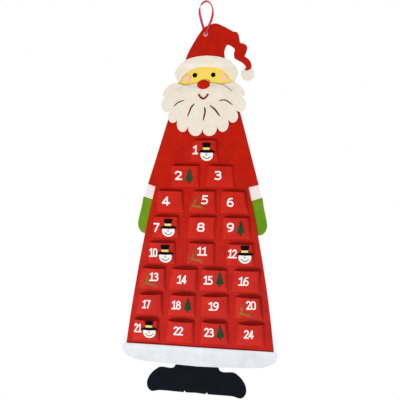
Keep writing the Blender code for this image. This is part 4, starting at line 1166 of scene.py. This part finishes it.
def make_beard():
    felt_part("beard", [beard_outline()], 2, "white", beard_lift)
    front = on_wall(layer_back(2) - FELT, beard_lift)
    for number, (line, width) in enumerate(zip(BEARD_LINE_SHARES, BEARD_LINES), 1):
        line = smooth_run(line)
        points = np.stack([line[:, 0] * BEARD_WIDTH / 2, -BEARD_TOP - line[:, 1] * BEARD_HEIGHT], 1)
        loops = union(stroke(points, width, LINE_TAPER))
        piece = felt(f"beard_line_{number}", loops, LINE_THICK, "dark_red", front, LINE_RIM, True)
        settle(piece, [])
    top = BEARD_TOP + MOUSTACHE_DROP
    moustache = mirrored(joined_runs(MOUSTACHE_SHARES), MOUSTACHE_WIDTH, MOUSTACHE_HEIGHT, top=top)
    felt_part("moustache", [moustache], 3, "white", moustache_lift)
    drop = top + MOUSTACHE_HEIGHT * MOUTH_SEAT_SHARE + MOUTH_GAP
    smile = cut_shapes(stroke(smile_line(drop, MOUTH_WIDTH, MOUTH_SAG), MOUTH_LINE), 2)
    piece = felt("mouth", smile, TRIM_FELT, "mouth", on_wall(layer_back(3), beard_lift), TRIM_RIM, True)
    settle(piece, ["mouth"])


def make_robe():
    downs = np.linspace(0, 1, 25)
    flared = downs * (1 + SKIRT_FLARE * (1 - downs))
    halves = (WAIST_WIDTH + (SKIRT_WIDTH - WAIST_WIDTH) * flared) / 2
    drops = WAIST + (HEM_TOP - WAIST) * downs
    right = np.array([(SLEEVE_SPAN / 2, -SLEEVE_TIP), *zip(halves, -drops),
                      (SKIRT_WIDTH / 2, -HEM_TOP - HEM_OVERLAP)])
    shifts = np.zeros(right.shape)
    shifts[1:-1, 0] = WAIST_SHIFT * (1 - downs) ** 2
    sides = np.vstack([right + shifts, (right * (-1, 1) + shifts)[::-1]])
    sides[:, 0] += (HEM_TOP + sides[:, 1]) * ROBE_LEAN / (HEM_TOP - SLEEVE_TIP)
    top = [(SHOULDER_SHIFT + side * SHOULDER_WIDTH / 2, -ROBE_TOP) for side in (-1, 1)]
    robe = counter_clockwise(np.vstack([sides, top]))
    felt_part("robe", [robe], 1, "red")


def arm_point(side, along, inward):
    """A point in the arm's own axes, from the outer corner of the sleeve's end."""
    x = SLEEVE_SPAN / 2 + math.sin(ARM_ANGLE) * along - math.cos(ARM_ANGLE) * inward
    z = -SLEEVE_TIP - math.cos(ARM_ANGLE) * along - math.sin(ARM_ANGLE) * inward
    return (side * x + ROBE_LEAN / 2, z)


def make_arms():
    inner = CUFF_INSET + CUFF_WIDTH
    for side, hand in ((-1, "left"), (1, "right")):
        cuff = [arm_point(side, -TUCK, CUFF_INSET + TUCK / 4), arm_point(side, 0.0, CUFF_INSET),
                arm_point(side, CUFF_LENGTH, CUFF_INSET), arm_point(side, CUFF_LENGTH, inner),
                arm_point(side, -TUCK, inner)]
        felt_part(f"cuff_{hand}", [counter_clockwise(np.array(cuff))], 0, "cuff")
        start = arm_point(side, CUFF_LENGTH + SEAM_GAP, -CUFF_INSET)
        end = arm_point(side, CUFF_LENGTH + SEAM_GAP, inner)
        rounded = [(start[0] + side * x * MITTEN_WIDTH, start[1] - z * MITTEN_LENGTH)
                   for x, z in MITTEN_SHARES]
        mitten = counter_clockwise(smooth_run([start, *rounded, end]))
        felt_part(f"mitten_{hand}", [mitten], 0, "green")


def make_foot():
    hem = mirrored(joined_runs(HEM_SHARES), HEM_WIDTH, HEM_HEIGHT, top=HEM_TOP)
    felt_part("hem", [tilted(hem, HEM_TILT, HEM_TOP)], 2, "hem", hem_lift)
    boots = mirrored(joined_runs(BOOT_SHARES), BOOTS_WIDTH, BOOTS_HEIGHT, BOOTS_SHIFT, BOOTS_TOP)
    felt_part("boots", [tilted(boots, BOOTS_TILT, BOOTS_TOP)], 0, "black")


# Pockets
class Pocket:
    """The shape of one pocket's felt, from its node's box and the way that it hangs."""

    def __init__(self, number):
        low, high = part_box(f"pocket_{number:02d}")
        shift, extra, depth, self.bow, sag, fall, width, *self.number_spot = POCKET_ROWS[number - 1]
        self.number = number
        self.number_width = width * MM
        self.middle = (low.x + high.x) / 2
        self.shift = shift * MM
        self.mouth = high.z
        self.height = high.z - low.z - SEAM_MARGIN
        self.seat = high.y
        self.base_half = (high.x - low.x) / 2 - SEAM_MARGIN
        self.mouth_half = self.base_half - MOUTH_TUCK + extra * MM / 2
        self.depth = POCKET_DEPTH * depth
        self.sag, self.fall = sag * MM, fall * MM

    def stand(self, across, down):
        """Height of the outer face over the robe; across runs from seam to seam, -1 to 1."""
        far = np.clip(np.abs(across), 0, 1)
        closing = 1 - np.clip(down, 0, 1)
        boxy, bowed = np.sqrt(1 - far ** CORNER_POWER), 1 - far * far
        reach = (self.depth - PATCH_FELT) * closing ** BELLY_POWER
        return PATCH_FELT + reach * (boxy * (1 - self.bow) + bowed * self.bow)

    def points(self, across, down, height=0.0):
        """Points at a height over the outer face. Past the seams the margin keeps its width."""
        closing = 1 - np.clip(down, 0, 1)
        half = self.base_half + (self.mouth_half - self.base_half) * closing
        x = self.middle + self.shift * closing + across * half
        drop = down * self.height + (self.sag * (1 - np.clip(across * across, 0, 1))
                                     + self.fall * across) * closing ** 2
        z = self.mouth - drop
        out = self.stand(across, down) + height + hanging_wave(x - CENTRE_LINE, z)
        return np.stack([x, self.seat - out, z], -1)

    def front(self, x_mm, z_mm):
        """Places flat trimmings, drawn about a middle in millimetres, on the outer face."""
        def place(x, z, height):
            across = (x + x_mm * MM) / (self.base_half - MM)
            return self.points(across, -(z + z_mm * MM) / self.height, height + 0.1 * MM)
        return place


def make_pocket(pocket):
    """A closed shell of felt: outer and inner skins that meet in rounded rims."""
    turns = np.linspace(-1, 1, POCKET_COLUMNS)
    spread = np.sign(turns) * (1 - (1 - np.abs(turns)) ** 1.7)
    fine = np.array([0.0, 0.25, 0.6, 1.1, 1.7]) * MM / pocket.base_half
    margin = SEAM_MARGIN / pocket.base_half
    across = np.concatenate([-1 - margin + fine, spread, 1 + margin - fine[::-1]])
    fine = fine * pocket.base_half / pocket.height
    margin_down = SEAM_MARGIN / pocket.height
    down = np.concatenate([fine[:-1], np.linspace(0.04, 1, POCKET_LINES), 1 + margin_down - fine[::-1]])
    across_grid, down_grid = np.meshgrid(across, down)
    outer = pocket.points(across_grid, down_grid)
    along, downward = np.gradient(outer, axis=1), np.gradient(outer, axis=0)
    normal = np.cross(along, downward)
    normal /= np.linalg.norm(normal, axis=2)[..., None]
    normal *= np.where(normal[..., 1:2] > 0, -1, 1)
    edge_x = (1 + margin - np.abs(across_grid)) * pocket.base_half
    edge_z = np.minimum(down_grid, 1 + margin_down - down_grid) * pocket.height
    edge = np.clip(np.minimum(edge_x, edge_z) / POCKET_RIM, 0, 1)
    full = 0.3 + 0.7 * np.sqrt(1 - (1 - edge) ** 2)
    middle = outer - normal * PATCH_FELT / 2
    uneven = unevenness(outer.reshape(-1, 3), POCKET_UNEVEN, POCKET_LUMP).reshape(edge.shape)
    half = (PATCH_FELT / 2 * full)[..., None]
    skins = [middle + normal * (half + uneven[..., None] * full[..., None]), middle - normal * half]
    rows, columns = edge.shape
    points = np.vstack([skin.reshape(-1, 3) for skin in skins])
    count = rows * columns
    faces = []
    for r in range(rows - 1):
        for c in range(columns - 1):
            a, b = r * columns + c, r * columns + c + 1
            d, e = a + columns, b + columns
            faces += [(a, d, e, b), (count + a, count + b, count + e, count + d)]
    ring = [*range(columns), *range(2 * columns - 1, count, columns),
            *range(count - 2, count - columns - 1, -1), *range(count - 2 * columns, 0, -columns)]
    faces += [(a, b, count + b, count + a) for a, b in zip(ring, ring[1:] + ring[:1])]
    # Painted shade: 1 at the pocket's rims, by which the finish darkens them
    painted_rim_shade = np.concatenate([(1 - edge).ravel()] * 2)
    name = f"pocket_{pocket.number:02d}"
    piece = mesh_object(name, points, faces, "patch", painted_rim_shade)
    settle(piece, [name])
    width, length = 2 * (pocket.base_half + SEAM_MARGIN) + pocket.depth, pocket.height + SEAM_MARGIN
    width * length * 0.98


def digit_quads(digit, left, width, height, line_width):
    """The strokes of one digit in a box of the given size, centred in height."""
    inner_width, inner_height = width - line_width, height - line_width
    quads = []
    for line in DIGIT_SHARES[digit]:
        line = smooth_run(line, 5)
        points = np.stack([left + line_width / 2 + line[:, 0] * inner_width,
                           (line[:, 1] - 0.5) * inner_height], 1)
        quads += stroke(points, line_width)
    return quads


def make_number(pocket):
    text = str(pocket.number)
    width = pocket.number_width
    height, line_width = (PAIR_HEIGHT, PAIR_STROKE) if len(text) > 1 else (DIGIT_HEIGHT, DIGIT_STROKE)
    each = (width + (len(text) - 1) * PAIR_OVERLAP) / len(text)
    left = -width / 2
    quads = []
    for digit in text:
        quads += digit_quads(digit, left, each, height, line_width)
        left += each - PAIR_OVERLAP
    piece = felt(f"number_{text.zfill(2)}", cut_shapes(quads, 2), NUMBER_THICK, "number",
                 pocket.front(*pocket.number_spot), FINE_RIM, True)
    settle(piece, [])


def trimming(name, pocket, loops, spot, cloth, height=0.0, thickness=TRIM_FELT, nodes=(),
             rim=TRIM_RIM):
    """A felt trimming on a pocket's front, its middle at a spot given in millimetres."""
    front = pocket.front(*spot)

    def place(x, z, over):
        return front(x, z, over + height)

    piece = felt(name, loops, thickness, cloth, place, min(rim, thickness / 3), True)
    settle(piece, nodes)


def box_outline(half_low, low, half_high, high, x=0.0):
    """A band or post with level ends, drawn about a line."""
    corners = ((-half_low, low), (half_low, low), (half_high, high), (-half_high, high))
    return np.array(corners) + (x, 0.0)


def make_snowman(pocket):
    """A white head under a black top hat with a lime band. Drawn about the head's middle."""
    spot = SNOWMEN_MM[pocket.number]
    name = f"snowman_{pocket.number:02d}"
    head = ellipse(0.0, 0.0, SNOW_HEAD_RADIUS, SNOW_HEAD_RADIUS * 0.96)
    trimming(name, pocket, [head], spot, "number", nodes=[name])
    side = smooth_run(CROWN_MM, 4) * MM
    crown = np.vstack([side, side[-2::-1] * (-1, 1)]) + (CROWN_SHIFT, 0.0)
    brim = ellipse(0.0, -SNOW_BRIM_RISE, SNOW_BRIM_WIDTH / 2, SNOW_BRIM_HEIGHT / 2, 48)
    out = np.abs(brim[:, 0] / (SNOW_BRIM_WIDTH / 2))
    brim[:, 1] -= SNOW_BRIM_DROOP * out ** 2.5 + SNOW_BRIM_DIP * (1 - out) ** 2
    trimming(f"{name}_hat", pocket, cut_shapes([crown, brim]), spot, "ink", TRIM_FELT)
    low, high = (rise * MM for rise in BAND_MM)
    band = box_outline(BAND_HALF, low, BAND_HALF + 0.3 * MM, high, CROWN_SHIFT)
    trimming(f"{name}_band", pocket, [band], spot, "lime", 2 * TRIM_FELT, 0.5 * MM)
    across, up = SNOW_NOSE_MM
    nose = ellipse(across * MM, -up * MM, *SNOW_NOSE_SIZE, 30)
    trimming(f"{name}_nose", pocket, [nose], spot, "peach", TRIM_FELT, 0.7 * MM)
    line = smile_line(SNOW_SMILE_DROP, SNOW_SMILE_WIDTH, SNOW_SMILE_SAG)
    smile = union(stroke(line, SNOW_SMILE_LINE))
    trimming(f"{name}_smile", pocket, smile, spot, "ink", TRIM_FELT, 0.5 * MM)


def make_tree(pocket):
    """A slim fir with drooping tiers, on a short trunk."""
    spot = TREES_MM[pocket.number]
    name = f"tree_{pocket.number:02d}"
    right = [(0.0, 0.0), (1.1, 1.2)]
    for across, down in TREE_TIPS_MM:
        right += [(across, down), (across - TREE_CUT_MM[0], down - TREE_CUT_MM[1])]
    right = np.array([*right[:-1], *TREE_FOOT_MM])
    left = right[:0:-1] * (-1.0, 1.0) + (0.0, 0.8)
    fir = np.vstack([right, left]) * (MM, -MM) + (0.0, TREE_HEIGHT / 2)
    fir = softened(even(counter_clockwise(fir), FINE_SPACING), 3)
    base, half = -TREE_HEIGHT / 2, TRUNK_WIDTH / 2
    trunk = box_outline(half, base - TRUNK_HEIGHT, half, base + TRUNK_HEIGHT / 2)
    trimming(f"{name}_trunk", pocket, [trunk], spot, "bark", 0.0, 0.6 * MM, rim=FINE_RIM)
    trimming(name, pocket, [fir], spot, "fir", 0.6 * MM, nodes=[name], rim=BRANCH_RIM)


def make_reindeer(pocket):
    name = f"reindeer_{pocket.number:02d}"
    quads = []
    for width, line in DEER_STROKES:
        quads += stroke((smooth_run(line, 5) - 0.5) * (DEER_WIDTH, -DEER_HEIGHT), width * MM)
    trimming(name, pocket, cut_shapes(quads), REINDEER_MM[pocket.number], "tan", nodes=[name],
             rim=FINE_RIM)


def make_pockets():
    pockets = [Pocket(number) for number in range(1, len(POCKET_ROWS) + 1)]
    trimmings = ((SNOWMEN_MM, make_snowman), (TREES_MM, make_tree), (REINDEER_MM, make_reindeer))
    for pocket in pockets:
        make_pocket(pocket)
        make_number(pocket)
        for table, make in trimmings:
            if pocket.number in table:
                make(pocket)
    return pockets


# Seams
STITCH_PITCH = 3.4 * MM
STITCH_LENGTH = 2.5 * MM
THREAD_RADIUS = 0.26 * MM


def stitch_tree():
    """A Geometry Nodes tree that sews stitches along the edges of a mesh, and its inputs' names."""
    tree = bpy.data.node_groups.new("seam", "GeometryNodeTree")
    names = {}
    for name, kind in (("Seam", "Geometry"), ("Pitch", "Float"), ("Stitch Length", "Float"),
                       ("Thread Radius", "Float"), ("Thread", "Material")):
        socket = tree.interface.new_socket(name, in_out="INPUT", socket_type=f"NodeSocket{kind}")
        names[name] = socket.identifier
    tree.interface.new_socket("Stitches", in_out="OUTPUT", socket_type="NodeSocketGeometry")
    sockets = tree.nodes.new("NodeGroupInput").outputs

    def put(kind, settings=None, **values):
        node = tree.nodes.new(kind)
        for key, setting in (settings or {}).items():
            setattr(node, key, setting)
        for key, value in values.items():
            socket = node.inputs[key.replace("_", " ")]
            if isinstance(value, bpy.types.NodeSocket):
                tree.links.new(value, socket)
            else:
                socket.default_value = value
        return node.outputs[0]

    path = put("GeometryNodeMeshToCurve", Mesh=sockets["Seam"])
    spaced = put("GeometryNodeResampleCurve", {"mode": "LENGTH"}, Curve=path, Length=sockets["Pitch"])
    ball = put("GeometryNodeMeshUVSphere", Segments=6, Rings=5, Radius=1.0)
    half = put("ShaderNodeMath", {"operation": "MULTIPLY"}, Value=sockets["Stitch Length"])
    half.node.inputs[1].default_value = 0.5
    size = put("ShaderNodeCombineXYZ", X=sockets["Thread Radius"], Y=sockets["Thread Radius"], Z=half)
    stitch = put("GeometryNodeTransform", Geometry=ball, Scale=size)
    along = put("GeometryNodeInputTangent")
    turned = put("FunctionNodeAlignRotationToVector", {"axis": "Z"}, Vector=along)
    placed = put("GeometryNodeInstanceOnPoints", Points=spaced, Instance=stitch, Rotation=turned)
    whole = put("GeometryNodeRealizeInstances", Geometry=placed)
    sewn = put("GeometryNodeSetMaterial", Geometry=whole, Material=sockets["Thread"])
    tree.links.new(sewn, tree.nodes.new("NodeGroupOutput").inputs[0])
    return tree, names


def sew(name, paths, thread):
    """One mesh of stitches along open lines of points."""
    points = np.vstack(paths)
    edges, start = [], 0
    for path in paths:
        edges += [(start + k, start + k + 1) for k in range(len(path) - 1)]
        start += len(path)
    line = bpy.data.meshes.new(name)
    line.from_pydata([tuple(p) for p in points], edges, [])
    guide = linked("seam", line)
    tree, names = stitch_tree()
    seam = guide.modifiers.new("seam", "NODES")
    seam.node_group = tree
    for key, value in (("Pitch", STITCH_PITCH), ("Stitch Length", STITCH_LENGTH),
                       ("Thread Radius", THREAD_RADIUS), ("Thread", CLOTHS[thread])):
        seam[names[key]] = value
    sewn = guide.evaluated_get(bpy.context.evaluated_depsgraph_get())
    data = bpy.data.meshes.new_from_object(sewn)
    bpy.data.objects.remove(guide)
    data.name = f"{name}_look"
    data.shade_smooth()
    settle(linked(f"{name}_look", data), [])


def pocket_seam(pocket, behind):
    """Points down one side of a pocket, along its base and up the other, or the same behind."""
    side = 1 + SEAM_MARGIN / 2 / pocket.base_half
    foot = 1 + SEAM_MARGIN / 2 / pocket.height
    down = np.linspace(0.03, foot, SEAM_POINTS)
    along = np.linspace(-side, side, SEAM_POINTS)[1:-1]
    across = np.concatenate([np.full(SEAM_POINTS, -side), along, np.full(SEAM_POINTS, side)])
    downs = np.concatenate([down, np.full(len(along), foot), down[::-1]])
    points = pocket.points(across, downs)
    if behind:
        points[:, 1] = layer_back(1) - hanging_wave(points[:, 0] - CENTRE_LINE, points[:, 2])
    return points


def make_seams(pockets):
    seams = [pocket_seam(pocket, behind) for pocket in pockets for behind in (False, True)]
    sew("pocket_stitches", seams, "thread")
    across = np.linspace(-0.47, 0.47, 90) * HEM_WIDTH
    line = np.stack([across, np.full(len(across), -HEM_TOP - HEM_SEAM_DROP)], 1)
    line = tilted(line, HEM_TILT, HEM_TOP)
    front = on_wall(layer_back(2) - FELT, hem_lift)
    sew("hem_stitches", [front(line[:, 0], line[:, 1], 0.0)], "white_thread")


# The ribbon and its eyelet
def ribbon_knots():
    """Centre, width and turn of the ribbon along its route, eyelet to eyelet."""
    flange_front = layer_back(1) - FELT - CLEAR - EYELET_LIP
    flange_back = layer_back(1) + CLEAR + EYELET_LIP
    front = flange_front - CLEAR - RIBBON_THICK / 2
    back = flange_back + CLEAR + RIBBON_THICK / 2
    neck = -EYELET_DROP + EYELET_BORE * BORE_RISE_SHARE
    height = -neck
    lead = EYELET_BORE
    narrow = 2 * EYELET_BORE * BORE_WIDTH_SHARE
    bend = lead / 4
    knots = [(0.0, (front + back) / 2, neck, narrow, 0.0), (0.0, front + 2 * bend, neck, narrow, 0.0),
             (0.0, front, neck + bend, narrow, 0.0),
             (0.0, front, neck + lead, (narrow + RIBBON_WIDTH) / 2, 0.0)]
    knots += [(across * LOOP_WIDTH / 2, front + (back - front) * depth, -down * height,
               RIBBON_WIDTH, turn) for across, down, depth, turn in LOOP_SHARES]
    knots += [(0.0, back, neck + lead, (narrow + RIBBON_WIDTH) / 2, 0.0),
              (0.0, back, neck + bend, narrow, 0.0), (0.0, back - 2 * bend, neck, narrow, 0.0)]
    return knots


def make_ribbon():
    """The hanging loop: a flat ribbon swept once round its closed route."""
    knots = ribbon_knots()
    line = smooth_run([*knots, knots[0]], 12)[:-1]
    centres, widths, turns = line[:, :3], line[:, 3], line[:, 4]
    ways = np.roll(centres, -1, 0) - np.roll(centres, 1, 0)
    ways /= np.linalg.norm(ways, axis=1)[:, None]
    lying = np.array((1.0, 0.0, 0.0)) * (1 - turns)[:, None] + PEG_TURN * turns[:, None]
    across = lying - ways * (lying * ways).sum(1)[:, None]
    across /= np.linalg.norm(across, axis=1)[:, None]
    through = np.cross(ways, across)
    spots = np.linspace(-1, 1, 9)
    section = [(s, 1 - 0.5 * s ** 8) for s in spots] + [(s, -1 + 0.5 * s ** 8) for s in spots[::-1]]
    cupped = 0.035 * RIBBON_WIDTH
    rings = []
    for s, side in section:
        out = side * RIBBON_THICK / 2 + cupped * (0.5 - s * s)
        rings.append(centres + across * (s * widths / 2)[:, None] + through * out)
    points = np.stack(rings, 1)
    count, size = points.shape[:2]
    ribbon = mesh_object("hang_loop", points.reshape(-1, 3), wrapped_faces(count, size), "satin")
    steps = np.linalg.norm(np.roll(centres, -1, 0) - centres, axis=1)
    along = np.concatenate([[0], np.cumsum(steps)])
    layer = ribbon.data.uv_layers.new(name="lay")
    spot = 0
    for k in range(count):
        for j in range(size):
            for ring, corner in ((k, j), (k + 1, j), (k + 1, j + 1), (k, j + 1)):
                s = section[corner % size][0]
                layer.data[spot].uv = (along[ring], (s + 1) / 2 * RIBBON_WIDTH)
                spot += 1
    settle(ribbon, ["hang_loop"], "loop")
    start = centres[0]
    tuple(start)


def make_eyelet():
    """A rolled metal ring round the hole, turned about the bore's axis."""
    front = layer_back(1) - FELT - CLEAR
    back = layer_back(1) + CLEAR
    bore, flange = EYELET_BORE, EYELET_FLANGE_RADIUS
    roll = (flange - bore) / 2
    turns = np.linspace(0, math.pi, 13)
    outer = [(bore + roll - roll * math.cos(a), front - EYELET_LIP * math.sin(a)) for a in turns]
    rear = [(bore + roll + roll * math.cos(a), back + EYELET_LIP * math.sin(a)) for a in turns]
    profile = [*outer, (EYELET_HOLE - 0.2 * MM, front), (EYELET_HOLE - 0.2 * MM, back), *rear]
    turns = 2 * math.pi * np.arange(EYELET_SEGMENTS) / EYELET_SEGMENTS
    points = [(r * math.sin(a), y, -EYELET_DROP + r * math.cos(a)) for a in turns for r, y in profile]
    faces = wrapped_faces(EYELET_SEGMENTS, len(profile))
    settle(mesh_object("eyelet", points, faces, "metal"), ["eyelet"])


make_camera()
CLOTHS = make_cloths()
make_ribbon()
make_stage()
make_eyelet()
make_hat()
make_face()
make_beard()
make_robe()
make_arms()
make_foot()
make_seams(make_pockets())
